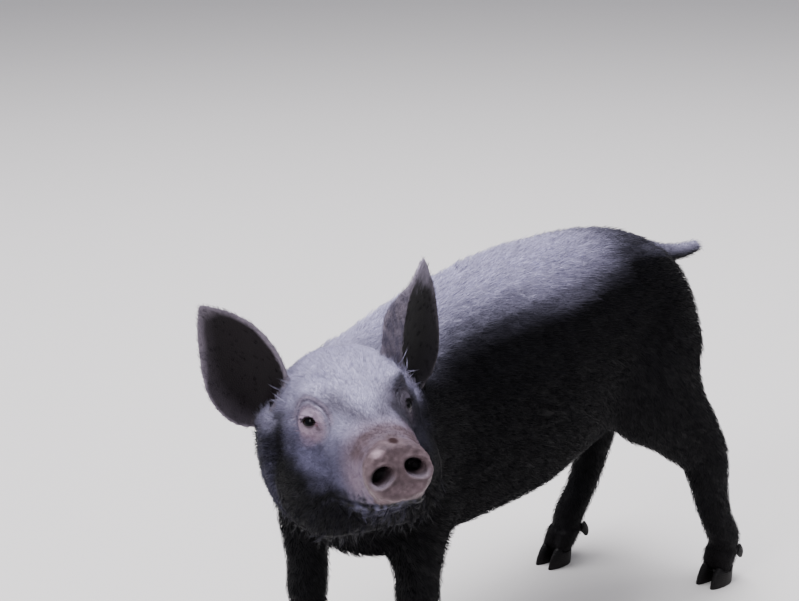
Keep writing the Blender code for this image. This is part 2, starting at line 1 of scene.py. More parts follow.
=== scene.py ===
"""The looks of a young black pig: one skin over its body, a coat of short bristles, its eyes and claws.

Metres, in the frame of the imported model. The head has a frame of its own, with its origin midway
between the eyes, +X to the snout, +Y to the pig's left and +Z up.
"""

import math

import bmesh
import bpy
import numpy as np
from mathutils import Matrix, Vector, noise
from mathutils.bvhtree import BVHTree


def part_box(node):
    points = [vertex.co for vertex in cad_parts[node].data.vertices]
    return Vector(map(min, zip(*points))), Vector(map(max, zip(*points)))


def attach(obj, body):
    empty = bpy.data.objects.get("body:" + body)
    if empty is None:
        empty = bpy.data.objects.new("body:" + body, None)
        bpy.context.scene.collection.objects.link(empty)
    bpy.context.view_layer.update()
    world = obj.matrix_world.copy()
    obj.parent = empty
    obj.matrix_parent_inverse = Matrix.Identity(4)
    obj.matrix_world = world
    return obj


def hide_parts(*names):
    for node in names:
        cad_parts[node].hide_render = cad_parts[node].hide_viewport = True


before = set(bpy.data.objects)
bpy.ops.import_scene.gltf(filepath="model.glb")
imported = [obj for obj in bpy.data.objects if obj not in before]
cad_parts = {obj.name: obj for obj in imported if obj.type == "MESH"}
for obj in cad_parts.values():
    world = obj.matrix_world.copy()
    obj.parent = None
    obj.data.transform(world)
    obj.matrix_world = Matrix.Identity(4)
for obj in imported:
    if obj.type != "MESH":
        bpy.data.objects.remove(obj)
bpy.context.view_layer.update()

# Where the head, eyes, ears and feet are

EYE_SPREAD = 0.0330
EYE_HEIGHT = 0.005
EYE_FORWARD = 0.004
EYE_RADIUS = 0.0080
HEAD_TURN = Matrix.Rotation(math.radians(61.2), 4, "Z")
HEAD_LIFT = Matrix.Rotation(math.radians(-14.3), 4, "Y")
HEAD_ROLL = Matrix.Rotation(math.radians(4.1), 4, "X")
HEAD_PLACE = Vector((0.251, 0.111, 0.331))
HEAD_AT_HOME = Matrix.Translation(HEAD_PLACE) @ HEAD_TURN @ HEAD_LIFT @ HEAD_ROLL

RIGHT_EYE = sum(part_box("eye_right"), Vector()) / 2
SHIFT = RIGHT_EYE - HEAD_AT_HOME @ Vector((EYE_FORWARD, -EYE_SPREAD, EYE_HEIGHT))
HEAD = Matrix.Translation(SHIFT) @ HEAD_AT_HOME
SIDES = {"left": 1, "right": -1}
GAZE = {side: Vector((0.74, way * 0.64, 0.20)).normalized() for side, way in SIDES.items()}
EYES = {side: Vector((EYE_FORWARD, way * EYE_SPREAD, EYE_HEIGHT)) for side, way in SIDES.items()}

SLIT_HALF_LENGTH = 0.0064
SLIT_HALF_OPENING = 0.0034
SLIT_TURN = math.radians(14)
UPPER_SHUT = 1.02
LOWER_SHUT = 0.62
DISC_HEIGHT = -0.025
DISC_HALF_WIDTH = 0.0248
DISC_HALF_HEIGHT = 0.0208
NOSTRIL_SPREAD = 0.0124
NOSTRIL_TILT = math.radians(27)
NOSTRIL_HALF_LENGTH = 0.0082
NOSTRIL_HALF_WIDTH = 0.0057
# Where the painted pool of light on the right cheek lies
LIT_CHEEK_PLACE = (0.036, -0.030, -0.004)
SORE_PLACE = (0.0956, 0.0009, -0.0039)
# Where the painted highlight on the disc's top lies
DISC_HIGHLIGHT_PLACE = (0.1020, -0.0128, -0.0104)
# How much of the painted highlight each ear's rear rim and tip gets
REAR_RIM_LIT = {"left": 0.25, "right": 1.0}
# The share of the lids' colours each side gets: the left's small share leaves painted shade round that eye
LIDS_LIT = {"left": 0.10, "right": 1.0}
MOUTH_CORNER_X = 0.036
MOUTH_LEVEL = -0.0465
EAR_YAW = {"left": math.radians(48), "right": math.radians(33)}
EAR_SPLAY = {"left": 0.30, "right": 0.47}
EAR_HOOK = {"left": 0.001, "right": 0.008}

# The camera, at the photograph's viewing angle

CAMERA_PLACE = Vector((1.0, 0.916, 0.746)) + SHIFT
CAMERA_YAW = math.radians(45.4)
CAMERA_PITCH = math.radians(16.4)
CAMERA_ROLL = math.radians(-0.7)
CAMERA_LENS = 72.1
SENSOR_WIDTH = 36.0

# The skin

SWELL = 0.0005
SKIN_VOXEL = 0.0016
SKIN_ROUNDS = 4
SKIN_TRIANGLES = 150_000
COAT_DEPTH = 0.0016
FACE_DEPTH = 0.0005
EAR_DEPTH = 0.0003
TAIL_DEPTH = 0.0002
FOOT_RISE = 0.0004
FOOT_TOP = 0.035
FLOOR_GAP = 0.0008

# The wrinkles across the snout: where each starts, its width and its depth
SNOUT_WRINKLES = ((0.0890, 0.0012, 0.0009), (0.0835, 0.0013, 0.0006), (0.0765, 0.0015, 0.0004))

# The folds round the eyes: radius, width and depth in the skin, width and strength of the painted shade in
# each crease
LID_FOLDS = (
    (0.0114, 0.0008, 0.0006, 0.0006, 0.30),
    (0.0150, 0.0011, 0.0011, 0.0011, 0.75),
    (0.0184, 0.0012, 0.0004, 0.0009, 0.40),
)
TEAT_ROWS = (-0.135, -0.098, -0.060, -0.022, 0.016, 0.052, 0.086)

# Colours, as linear red, green and blue

BLACK_COAT = (0.0023, 0.0021, 0.0031)
# Painted sheen: the pale blue-grey of light reflected off the black bristles
PAINTED_SHEEN = (0.385, 0.365, 0.510)
# Painted sheen on the cheekbones, jowls and lower lip
CHEEK_SHEEN = (0.108, 0.102, 0.168)
# Painted shade in the frown between the eyes
FROWN_SHADE = (0.050, 0.040, 0.056)
BLOOM = (0.18, 0.18, 0.24)
MUZZLE = (0.215, 0.155, 0.205)
MUZZLE_BROWN = (0.066, 0.042, 0.046)
DISC = (0.094, 0.064, 0.072)
# The disc's paler blotches, and the painted highlight on its lower rim
DISC_RIM = (0.175, 0.125, 0.140)
# Painted highlight on the nostrils' lower lips, where their inner walls catch light
NOSTRIL_HIGHLIGHT = (0.210, 0.180, 0.225)
LID = (0.340, 0.245, 0.315)
EYE_BAG = (0.280, 0.215, 0.310)
EAR_DARK = (0.0075, 0.0052, 0.0068)
# Painted highlight along the ears' rims
EAR_RIM_HIGHLIGHT = (0.24, 0.205, 0.255)
# Painted sheen on the left ear's folded front
FOLD_SHEEN = (0.098, 0.086, 0.122)
# Painted light on the left ear's tip
EAR_TIP_LIGHT = (0.33, 0.29, 0.38)
FOOT_COAT = (0.0050, 0.0042, 0.0048)
SORE = (0.018, 0.005, 0.006)
# Painted highlight on the disc's shiny top
DISC_HIGHLIGHT = (0.420, 0.300, 0.350)
# Painted shade in the lids' creases
CREASE_SHADE = (0.042, 0.024, 0.036)
LID_EDGE = (0.018, 0.009, 0.010)
EYE_CORNER = (0.130, 0.040, 0.050)

BODY_NODES = ["torso", "neck", "tail"]
HEAD_NODES = ["head", "lower_jaw", "snout"]
EAR_NODES = ["ear_left", "ear_right"]
LEG_NODES = [
    f"{part}_{side}"
    for side in SIDES
    for part in ("foreleg", "forefoot", "thigh", "shank", "hindfoot")
]
FLESH = BODY_NODES + HEAD_NODES + EAR_NODES + LEG_NODES
CLAW_NODES = sorted(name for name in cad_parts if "claw" in name)


# Helpers

def link(name, data):
    """A new object at the origin that holds this mesh, lamp or camera."""
    made = bpy.data.objects.new(name, data)
    bpy.context.scene.collection.objects.link(made)
    return made


def bake(thing):
    """Replaces the object's mesh by what its modifiers make of it."""
    graph = bpy.context.evaluated_depsgraph_get()
    mesh = bpy.data.meshes.new_from_object(thing.evaluated_get(graph))
    thing.modifiers.clear()
    thing.data = mesh
    return thing


def merged(node, swell=0.0):
    """A CAD node's shape as one closed surface, swollen a little so that it meets its neighbours."""
    shape = bmesh.new()
    shape.from_mesh(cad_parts[node].data)
    bmesh.ops.remove_doubles(shape, verts=shape.verts, dist=1e-5)
    shape.normal_update()
    for vertex in shape.verts:
        vertex.co += vertex.normal * swell
    mesh = bpy.data.meshes.new(node)
    shape.to_mesh(mesh)
    shape.free()
    return mesh


def remeshed(thing, voxel, rounds):
    """One closed surface of even small faces, smoothed."""
    remesh = thing.modifiers.new("remesh", "REMESH")
    remesh.mode = "VOXEL"
    remesh.voxel_size = voxel
    smooth = thing.modifiers.new("smooth", "SMOOTH")
    smooth.factor = 0.5
    smooth.iterations = rounds
    return bake(thing)


def places(mesh):
    """The mesh's points."""
    found = np.empty(len(mesh.vertices) * 3)
    mesh.vertices.foreach_get("co", found)
    return found.reshape(-1, 3)


def place(mesh, points):
    """Moves the mesh's points."""
    mesh.vertices.foreach_set("co", np.asarray(points, np.float32).ravel())
    mesh.update()


def outwards(mesh):
    """The normal at each point."""
    found = np.empty(len(mesh.vertices) * 3, np.float32)
    mesh.vertex_normals.foreach_get("vector", found)
    return found.reshape(-1, 3).astype(float)


def edges_of(mesh):
    """The two points of each edge."""
    found = np.empty(len(mesh.edges) * 2, np.int32)
    mesh.edges.foreach_get("vertices", found)
    return found.reshape(-1, 2)


def softened(values, edges, rounds, share=1.0):
    """Values at the points, each drawn towards the mean of its neighbours."""
    values = np.array(values, float)
    count = len(values)
    flat = values.reshape(count, -1)
    share = np.broadcast_to(share, (count,))[:, None]
    a, b = edges[:, 0], edges[:, 1]
    near = np.maximum(np.bincount(a, minlength=count) + np.bincount(b, minlength=count), 1)
    for _ in range(rounds):
        total = np.stack([
            np.bincount(a, flat[b, k], count) + np.bincount(b, flat[a, k], count)
            for k in range(flat.shape[1])
        ], 1)
        flat = flat + share * (total / near[:, None] - flat)
    return flat.reshape(values.shape)


def step(values, low, high):
    """0 below low, 1 above high, smooth between."""
    t = np.clip((np.asarray(values, float) - low) / (high - low), 0, 1)
    return t * t * (3 - 2 * t)


def held(values):
    """Values kept between 0 and 1."""
    return np.clip(values, 0, 1)


def ridge(values, centre, width):
    """1 at the centre, falling off smoothly over the width."""
    return np.exp(-(((values - centre) / width) ** 2))


def away(points, place, stretch=1.0):
    """How far each point lies from a place, with the distance along each axis multiplied first."""
    return np.linalg.norm((points - np.array(place)) * np.array(stretch), axis=1)


def at_home(points):
    """World points in the frame that the pig was drawn in."""
    return points - np.array(SHIFT)


def in_head(points):
    """World points in the head's frame."""
    back = np.array(HEAD.inverted())
    return points @ back[:3, :3].T + back[:3, 3]


def head_way(*direction):
    """A direction of the head's frame, in the world."""
    return np.array(HEAD.to_3x3() @ Vector(direction).normalized())


def rough(points, size, seed):
    """A smooth random number from -1 to 1 at each point, that changes over this size."""
    offset = Vector((seed * 7.3, seed * 3.1, seed * 5.7))
    return np.array([noise.noise(Vector(p) / size + offset) for p in points])


# The skin's shape

def fused_flesh():
    """Every soft node as one surface, with none of the gaps between them."""
    shape = bmesh.new()
    for node in FLESH:
        shape.from_mesh(merged(node, SWELL))
    mesh = bpy.data.meshes.new("skin")
    shape.to_mesh(mesh)
    shape.free()
    return remeshed(link("skin", mesh), SKIN_VOXEL, SKIN_ROUNDS)


def nearest_nodes(points):
    """The number in FLESH of the node that each point lies on."""
    owners, verts, faces = [], [], []
    for number, node in enumerate(FLESH):
        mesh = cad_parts[node].data
        start = len(verts)
        verts.extend(v.co.copy() for v in mesh.vertices)
        faces.extend([start + i for i in polygon.vertices] for polygon in mesh.polygons)
        owners.extend([number] * len(mesh.polygons))
    tree = BVHTree.FromPolygons(verts, faces)
    return np.array([owners[tree.find_nearest(Vector(p))[2]] for p in points])


def on(labels, *nodes):
    """True at the points of these nodes."""
    return np.isin(labels, [FLESH.index(node) for node in nodes])


def thinned(skin):
    """Fewer faces on the trunk and legs, so that the face and ears can keep theirs."""
    labels = nearest_nodes(places(skin.data))
    coarse = skin.vertex_groups.new(name="broad parts")
    broad = np.nonzero(~on(labels, *HEAD_NODES, *EAR_NODES))[0]
    coarse.add([int(i) for i in broad], 1.0, "REPLACE")
    thin = skin.modifiers.new("thin", "DECIMATE")
    thin.ratio = SKIN_TRIANGLES / (2 * len(skin.data.polygons))
    thin.vertex_group = coarse.name
    thin.vertex_group_factor = 1.0
    return bake(skin)


def refined(skin, wanted):
    """The faces at these points cut smaller."""
    shape = bmesh.new()
    shape.from_mesh(skin.data)
    shape.verts.ensure_lookup_table()
    chosen = {e for i in np.nonzero(wanted)[0] for e in shape.verts[i].link_edges}
    bmesh.ops.subdivide_edges(shape, edges=list(chosen), cuts=1, use_grid_fill=True)
    bmesh.ops.triangulate(shape, faces=shape.faces)
    shape.to_mesh(skin.data)
    shape.free()
    return skin


def face_detail(points):
    """True near the eyes, the mouth and the snout's disc."""
    q = in_head(points)
    near = (q[:, 0] > 0.078) & (q[:, 0] < 0.13)
    near |= (np.abs(q[:, 2] - MOUTH_LEVEL) < 0.006) & (q[:, 0] > 0.026) & (q[:, 0] < 0.11)
    for eye in EYES.values():
        near |= away(q, eye) < 0.022
    return near


def near_eyes(points):
    """True round the eyeballs."""
    q = in_head(points)
    return round_eye(q, "left", 0.0135) | round_eye(q, "right", 0.0135)


def eye_axes(side, turn=SLIT_TURN):
    """Out of the eye, forwards along its slit and up across it, in the head's frame."""
    out, slope = GAZE[side], Vector((1, 0, -0.12))
    along = (slope - out * out.dot(slope)).normalized()
    up = out.cross(along) * -SIDES[side]
    c, s = math.cos(turn), math.sin(turn)
    return np.array(out), np.array(along * c + up * s), np.array(up * c - along * s)


def eye_shape(q, side, turn=SLIT_TURN):
    """How far out of the eye, forwards along its slit and up across it each point lies."""
    from_eye = q - np.array(EYES[side])
    return tuple(from_eye @ way for way in eye_axes(side, turn))


def lid_reach(along, up):
    """How far from the eye the folds of its lids pass: they stretch down towards the snout."""
    return np.hypot(along / np.where(along > 0, 1.6, 1.0), up - 0.0012 + 0.35 * np.maximum(along, 0))


TEAR_START = (0.0062, -0.0006)
TEAR_RUN = (0.0062, 0.0044)


def tear_line(along, up):
    """The distance from the crease that runs down from the eye's front corner."""
    ahead, rise = along - TEAR_START[0], up - TEAR_START[1]
    run, fall = TEAR_RUN
    t = held((ahead * run - rise * fall) / (run ** 2 + fall ** 2))
    return np.hypot(ahead - run * t, rise + fall * t)


def round_eye(q, side, radius):
    """True near one eye."""
    return away(q, EYES[side]) < radius


def disc_reach(y, z):
    """How far from the middle of the snout's disc each point lies: 1 at its rim."""
    return np.hypot(y / DISC_HALF_WIDTH, (z - DISC_HEIGHT) / DISC_HALF_HEIGHT)


def nostril_reach(q, side):
    """How far from the middle of a nostril each point lies: 1 at its edge."""
    way = SIDES[side]
    across = q[:, 1] - way * NOSTRIL_SPREAD
    rise = q[:, 2] - DISC_HEIGHT - 0.0012 * way
    c, s = math.cos(NOSTRIL_TILT), way * math.sin(NOSTRIL_TILT)
    along, over = across * c - rise * s, across * s + rise * c
    return np.hypot(along / NOSTRIL_HALF_LENGTH, over / NOSTRIL_HALF_WIDTH)


def inset(points, labels):
    """How far out of the nodes the skin lies: inside them by the coat's depth, which the feet don't have."""
    face = step(in_head(points)[:, 0], -0.07, -0.03) * on(labels, *HEAD_NODES)
    out = -COAT_DEPTH + (COAT_DEPTH - FACE_DEPTH) * face
    out = np.where(on(labels, *EAR_NODES), -EAR_DEPTH, out)
    out = np.where(on(labels, "tail"), -TAIL_DEPTH, out)
    return np.where(at_home(points)[:, 2] < FOOT_TOP, FOOT_RISE, out) - SWELL


def mouth_relief(q, labels):
    """The mouth's groove and the lip above it."""
    x, y, z = q.T
    mouth = step(x, MOUTH_CORNER_X - 0.006, MOUTH_CORNER_X + 0.004) * (1 - step(x, 0.093, 0.099))
    mouth = mouth * on(labels, *HEAD_NODES) * step(np.abs(y), 0.004, 0.010)
    level = MOUTH_LEVEL - 0.0010 * np.sin((x - MOUTH_CORNER_X) / 0.058 * math.pi)
    return mouth * (0.0006 * ridge(z, level + 0.0030, 0.0018) - 0.0016 * ridge(z, level, 0.0009))


def snout_relief(q, labels):
    """The disc's rim, hollow and groove, the nostrils' lips, the snout's fleshy lumps and its wrinkles."""
    x, y, z = q.T
    upper_face = on(labels, "head", "snout")
    front = step(x, 0.094, 0.100) * upper_face
    spread = disc_reach(y, z)
    out = front * (0.0011 * ridge(spread, 0.84, 0.13) - 0.0007 * (1 - step(spread, 0.3, 0.75)))
    out = out - 0.0007 * front * ridge(y, 0, 0.0022) * step(DISC_HEIGHT - z, -0.004, 0.008)
    for side in SIDES:
        out = out + 0.0010 * front * ridge(nostril_reach(q, side), 1.32, 0.24)
    lumps = np.zeros(len(q))
    snout = x > 0.070
    lumps[snout] = rough(q[snout], 0.0042, 11) + 0.6 * rough(q[snout], 0.0019, 12)
    out = out + 0.00048 * step(x, 0.070, 0.092) * lumps
    bridge = step(z, -0.030, -0.012) * upper_face
    for start, width, depth in SNOUT_WRINKLES:
        wander = start - 6.0 * (y * y) + 0.0006 * np.sin(y / 0.004)
        out = out - depth * bridge * ridge(x, wander, width)
    return out


def lid_relief(q):
    """The rims and folds of the lids and the creases at the eyes' front corners."""
    out = np.zeros(len(q))
    for side in SIDES:
        forward, along, up = eye_shape(q, side)
        facing = step(forward, -0.004, 0.003)
        weight = facing * (1 - 0.5 * step(-up, -0.002, 0.004))
        out = out + 0.0010 * weight * ridge(np.hypot(along / 1.25, up), 0.0086, 0.0020)
        out = out - 0.0010 * facing * ridge(tear_line(along, up), 0, 0.0010)
        folds_at = lid_reach(along, up) + 0.0006 * np.sin(along / 0.003)
        for radius, width, depth, _, _ in LID_FOLDS:
            out = out - depth * weight * ridge(folds_at, radius, width)
    return out


def nape_relief(q, labels):
    """Soft folds of the skin where the neck turns."""
    x, _, z = q.T
    wave = np.sin((x + 0.25 * z + 0.010 * np.sin(z / 0.018)) / 0.0125)
    turning = (1 - step(x, -0.050, -0.030)) * step(x, -0.14, -0.07)
    return -0.0009 * on(labels, "neck", "head", "torso") * turning * np.clip(wave, 0, 1) ** 3


def teat_relief(home, normals, labels):
    """Two rows of small teats along the belly."""
    belly = on(labels, "torso", "thigh_left", "thigh_right") * step(-normals[:, 2], 0.6, 0.85)
    out = np.zeros(len(home))
    for row in TEAT_ROWS:
        for way in SIDES.values():
            reach = np.hypot(home[:, 0] - row, home[:, 1] - way * (0.030 + 0.05 * abs(row + 0.02)))
            out = out + belly * (0.0018 * ridge(reach, 0, 0.0050) + 0.0030 * ridge(reach, 0, 0.0019))
    return out


def carve(points, normals, labels):
    """Moves the skin in by the coat's depth and adds the folds, wrinkles, lips and teats."""
    q = in_head(points)
    out = inset(points, labels) + mouth_relief(q, labels) + snout_relief(q, labels) + lid_relief(q)
    out = out + nape_relief(q, labels) + teat_relief(at_home(points), normals, labels)
    return points + normals * out[:, None]


def lids_fitted(points):
    """Turns the lids' slit, closes it to an almond and keeps its edges close to the eyeballs."""
    moved = in_head(points)
    for side, eye in EYES.items():
        forward, along, up = eye_shape(moved, side, 0)
        turn = SLIT_TURN * (1 - step(np.hypot(along, up), 0.008, 0.018)) * step(forward, -0.004, 0.002)
        c, s = np.cos(turn) - 1, np.sin(turn)
        axes = eye_axes(side, 0)
        moved = moved + (along * c - up * s)[:, None] * axes[1] + (along * s + up * c)[:, None] * axes[2]

        forward, along, up = eye_shape(moved, side)
        over = round_eye(moved, side, 0.020) & (forward > 0.0)
        reach = np.hypot(along / SLIT_HALF_LENGTH, up / SLIT_HALF_OPENING)
        pointed = np.where(up > 0, UPPER_SHUT, LOWER_SHUT)
        pointed = pointed * np.sqrt(np.clip(1 - (along / SLIT_HALF_LENGTH) ** 2, 0.03, 1))
        shut = np.where(over, pointed + (1 - pointed) * step(reach, 1.0, 2.6), 1.0)
        moved = moved + (up * (shut - 1))[:, None] * eye_axes(side)[2]
        from_eye = moved - np.array(eye)
        reach = np.linalg.norm(from_eye, axis=1)
        edge = (reach < EYE_RADIUS + 0.0016) & (forward > 0.001)
        close = EYE_RADIUS + 0.00030
        pull = np.where(edge, np.maximum(reach, close) * 0.4 + close * 0.6, reach)
        moved = np.where(edge[:, None], np.array(eye) + from_eye / reach[:, None] * pull[:, None], moved)
    ahead = np.array(HEAD)
    return moved @ ahead[:3, :3].T + ahead[:3, 3]


def seams(labels, edges):
    """1 at the lines where the body's nodes met, falling to 0 a few millimetres away."""
    apart = labels[edges[:, 0]] != labels[edges[:, 1]]
    at = np.zeros(len(labels))
    at[edges[apart].ravel()] = 1
    at[on(labels, *EAR_NODES, "snout", "lower_jaw")] = 0
    return np.clip(4 * softened(at, edges, 4), 0, 1)


def skin_piece():
    """The skin: one fused surface without seams, its folds carved and its lids fitted."""
    skin = thinned(fused_flesh())
    skin = refined(skin, face_detail(places(skin.data)))
    skin = refined(skin, near_eyes(places(skin.data)))
    mesh = skin.data
    edges = edges_of(mesh)
    points = places(mesh)
    points = softened(points, edges, 4, 0.5 * face_detail(points))
    labels = nearest_nodes(points)
    points = softened(points, edges, 14, 0.9 * seams(labels, edges))
    x, y, z = in_head(points).T
    nape = ridge(x, -0.058, 0.022) * step(z, -0.010, 0.010) * (1 - step(np.abs(y), 0.036, 0.046))
    brim = ridge(x, 0.0900, 0.0060) * step(z, DISC_HEIGHT + 0.002, DISC_HEIGHT + 0.010)
    points = softened(points, edges, 30, 0.9 * nape)
    points = softened(points, edges, 8, 0.7 * brim)
    place(mesh, points)
    points = lids_fitted(carve(points, outwards(mesh), labels))
    points[:, 2] = np.maximum(points[:, 2], FLOOR_GAP)
    place(mesh, points)
    mesh.shade_smooth()
    return skin, Hide(places(mesh), outwards(mesh), labels, edges)


class Hide:
    """The skin's points in the world, in the head's frame and at home, and the nodes that they lie on."""

    def __init__(self, points, normals, labels, edges):
        self.points = points
        self.normals = normals
        self.labels = labels
        self.edges = edges
        self.in_head = in_head(points)
        self.home = at_home(points)
        self.of_head = self.on(*HEAD_NODES)
        self.of_ears = self.on(*EAR_NODES)
        self.upward = self.soft(normals, 8)
        self.mottle = 0.16 * rough(self.in_head, 0.011, 1) + 0.10 * rough(self.in_head, 0.004, 2)
        self.streaks = rough(self.in_head * np.array((0.35, 1.0, 1.0)), 0.0030, 3)
        self.colours = np.tile(BLACK_COAT, (len(points), 1))

    def on(self, *nodes):
        """True at the points of these nodes."""
        return on(self.labels, *nodes)

    def soft(self, values, rounds, share=1.0):
        """Values at the points, each drawn towards the mean of its neighbours."""
        return softened(values, self.edges, rounds, share)

    def lay(self, colour, share):
        """Draws the colours towards this one by a share from 0 to 1 at each point."""
        share = np.asarray(share, float)[:, None]
        self.colours = self.colours + (np.array(colour) - self.colours) * share


# The lie and length of the coat

TRUNK_LIE = (-1.0, 0.0, -0.45)
NECK_LIE = (-1.0, 0.0, -0.40)
LEG_LIE = (-0.30, 0.0, -1.0)
TAIL_LIE = (-1.0, 0.35, -0.05)

TRUNK_HAIR = 0.0135
BACK_EXTRA = 0.0035
LEG_HAIR = 0.0095
FOOT_HAIR = 0.0065
JAW_HAIR = 0.0085
TAIL_HAIR = 0.0070
EAR_HAIR = 0.0046


def lie_of(hide):
    """The way the bristles point, at each point of the skin."""
    x, z = hide.in_head[:, 0], hide.in_head[:, 2]
    rear = head_way(-1, 0, 0)
    down = np.array((0, 0, -1.0))
    lie = np.tile(TRUNK_LIE, (len(x), 1))
    lie[hide.on(*LEG_NODES)] = LEG_LIE
    lie[hide.of_head] = rear + 0.15 * down
    lie[hide.of_head & (z < -0.035)] = rear + 0.7 * down
    neck = hide.on("neck")
    near_head = step(x[neck], -0.15, -0.06)[:, None]
    lie[neck] = near_head * (rear + 0.2 * down) + (1 - near_head) * np.array(NECK_LIE)
    for side in SIDES:
        lie[hide.on(f"ear_{side}")] = head_way(*ear_axes(side)[0])
    lie[hide.on("tail")] = TAIL_LIE
    lie = lie / np.linalg.norm(lie, axis=1)[:, None]
    lie = hide.soft(lie, 30, np.where(hide.of_ears, 0.1, 0.9))
    return lie / np.maximum(np.linalg.norm(lie, axis=1)[:, None], 1e-6)


def lengths_of(hide):
    """The bristles' length at each point."""
    x, z = hide.in_head[:, 0], hide.in_head[:, 2]
    height = hide.home[:, 2]
    found = np.where(hide.on(*LEG_NODES), LEG_HAIR, TRUNK_HAIR)
    found = np.where(height < 0.06, FOOT_HAIR, found)
    found = found + BACK_EXTRA * step(height, 0.33, 0.375) * hide.on("torso", "neck")
    face = JAW_HAIR - 0.0028 * step(x, -0.04, 0.02) - 0.0020 * step(x, 0.03, 0.08)
    found = np.where(hide.of_head, np.where(z < -0.050, JAW_HAIR, face), found)
    found = np.where(hide.of_ears, EAR_HAIR, found)
    found = np.where(hide.on("tail"), TAIL_HAIR, found)
    return hide.soft(found, 12)


# The ears' outline

EAR_BASE = (-0.038, 0.050, 0.031)
EAR_HEIGHT = 0.083
EAR_STATIONS = (-0.20, -0.10, 0.02, 0.15, 0.32, 0.55, 0.76, 0.90, 1.00)
EAR_FRONT_EDGE = (0.024, 0.002, -0.014, -0.0185, -0.0200, -0.0185, -0.0130, -0.0065, -0.0010)
EAR_REAR_EDGE = (0.034, 0.042, 0.0455, 0.0468, 0.0450, 0.0360, 0.0245, 0.0125, 0.0018)


def ear_axes(side):
    """Up along an ear, out to its rear edge and out of its hollow, in the head's frame."""
    way = SIDES[side]
    up = Vector((0.06, way * EAR_SPLAY[side], 0.86)).normalized()
    hollow = Vector((math.cos(EAR_YAW[side]), way * math.sin(EAR_YAW[side]), 0))
    square = (hollow - up * hollow.dot(up)).normalized()
    return up, square.cross(up) * -way, hollow


def ear_place(hide, side):
    """How far up its ear each point lies, and how far inside the ear's front and rear edges."""
    up, out, _ = ear_axes(side)
    base_x, base_y, base_z = EAR_BASE
    from_base = hide.in_head - np.array((base_x, SIDES[side] * base_y, base_z))
    along = from_base @ np.array(up) / EAR_HEIGHT
    hooked = EAR_HOOK[side] * (np.maximum(along - 0.6, 0) / 0.4) ** 2
    across = from_base @ np.array(out) - hooked
    front = across - np.interp(along, EAR_STATIONS, EAR_FRONT_EDGE)
    return along, front, np.interp(along, EAR_STATIONS, EAR_REAR_EDGE) - across


def lit_ear_rims(hide):
    """1 along the thin rim of each ear, where two faces of the sheet meet and the painted highlight lies,
    less on the left ear's rear rim and tip.
    """
    rim = np.zeros(len(hide.points))
    for side in SIDES:
        along, from_front, from_rear = ear_place(hide, side)
        front = 1 - step(from_front / (0.0035 + 0.0065 * step(along, 0.45, 1.0)), 0.1, 1.0)
        rear = 1 - step(from_rear / (0.0035 + 0.0065 * step(along, 0.25, 0.60)), 0.1, 1.0)
        soft = 0.20 * (1 - step(from_rear, 0.0, 0.018))
        tip = 0.85 * step(along, 0.80, 0.98)
        lit = np.maximum(front, REAR_RIM_LIT[side] * np.max((rear, soft, tip), axis=0))
        rim = np.maximum(rim, hide.on(f"ear_{side}") * lit)
    return rim


def ear_fold(hide):
    """1 on the front edge of the left ear, which is folded back, and fading up the ear."""
    along, from_front, _ = ear_place(hide, "left")
    return hide.on("ear_left") * (1 - step(from_front, -0.0005, 0.0020)) * (1 - step(along, 0.45, 0.85))


def ear_hair(hide):
    """How densely the ears are haired: full at the back and along the rims, thin inside."""
    inside = np.zeros(len(hide.points), bool)
    for side in SIDES:
        inside |= hide.on(f"ear_{side}") & (hide.normals @ head_way(*ear_axes(side)[2]) > 0)
    thin = np.where(inside, 0.06 + 0.7 * lit_ear_rims(hide), 0.65)
    return hide.of_ears * np.maximum(thin, ear_fold(hide))


# The colours, with painted sheen, highlights and shade, which skin and coat share

TAIL_ROOT_X = (-0.215, -0.160)
TAIL_ROOT_Y = (0.036, 0.044)
TAIL_ROOT_Z = (0.360, 0.367)
SHADE_BORDER_X = (-0.030, 0.000, 0.0125, 0.034, 0.075)
SHADE_BORDER_Y = (0.060, 0.036, 0.0265, 0.0175, 0.0175)
NOSTRIL_SHADOW = (0, 0.0016, -0.0018)


def paint_back(hide):
    """Painted sheen on the back, narrower towards the rump, and on the tail with a painted highlight at its
    root; painted shade behind the left ear and on the nape.
    """
    x, y, z = hide.home.T
    upward = hide.upward[:, 2]
    drift = 0.10 * np.sin(x / 0.045) * np.sin(y / 0.03 + z / 0.04)
    narrower = 0.16 * (1 - step(x, -0.170, -0.040))
    along_back = 0.22 + 0.78 * step(x, -0.185, -0.100)
    # Painted sheen on the upward-facing back, fainter towards the rump
    pale = hide.on(*BODY_NODES, *LEG_NODES) * step(upward + drift - narrower, 0.52, 0.95) * along_back
    # Painted shadow behind the left ear
    shadow_behind_ear = step(y, 0.046, 0.060) * ridge(x, 0.100, 0.045)
    pale = pale * (1 - 0.9 * shadow_behind_ear)
    # Painted sheen on the tail's upper side
    tail_sheen = 0.72 - 0.26 * step(x, -0.295, -0.262)
    pale = np.maximum(pale, tail_sheen * hide.on("tail") * step(upward, -0.4, 0.6))
    aside = y - np.interp(x, TAIL_ROOT_X, TAIL_ROOT_Y)
    above = z - np.interp(x, TAIL_ROOT_X, TAIL_ROOT_Z)
    # Painted highlight on the tail's root
    lit_tail_root = ridge(x, -0.190, 0.022) * (1 - step(np.hypot(aside, above), 0.002, 0.009))
    pale = np.maximum(pale, 0.30 * lit_tail_root * hide.on("torso"))
    x, y, _ = hide.in_head.T
    # Painted shade on the left of the neck, behind the head
    nape = hide.on("neck", "torso") * ridge(x, -0.110, 0.035) * step(y, 0.020, 0.050)
    hide.lay(PAINTED_SHEEN, pale * (1 - 0.45 * nape))


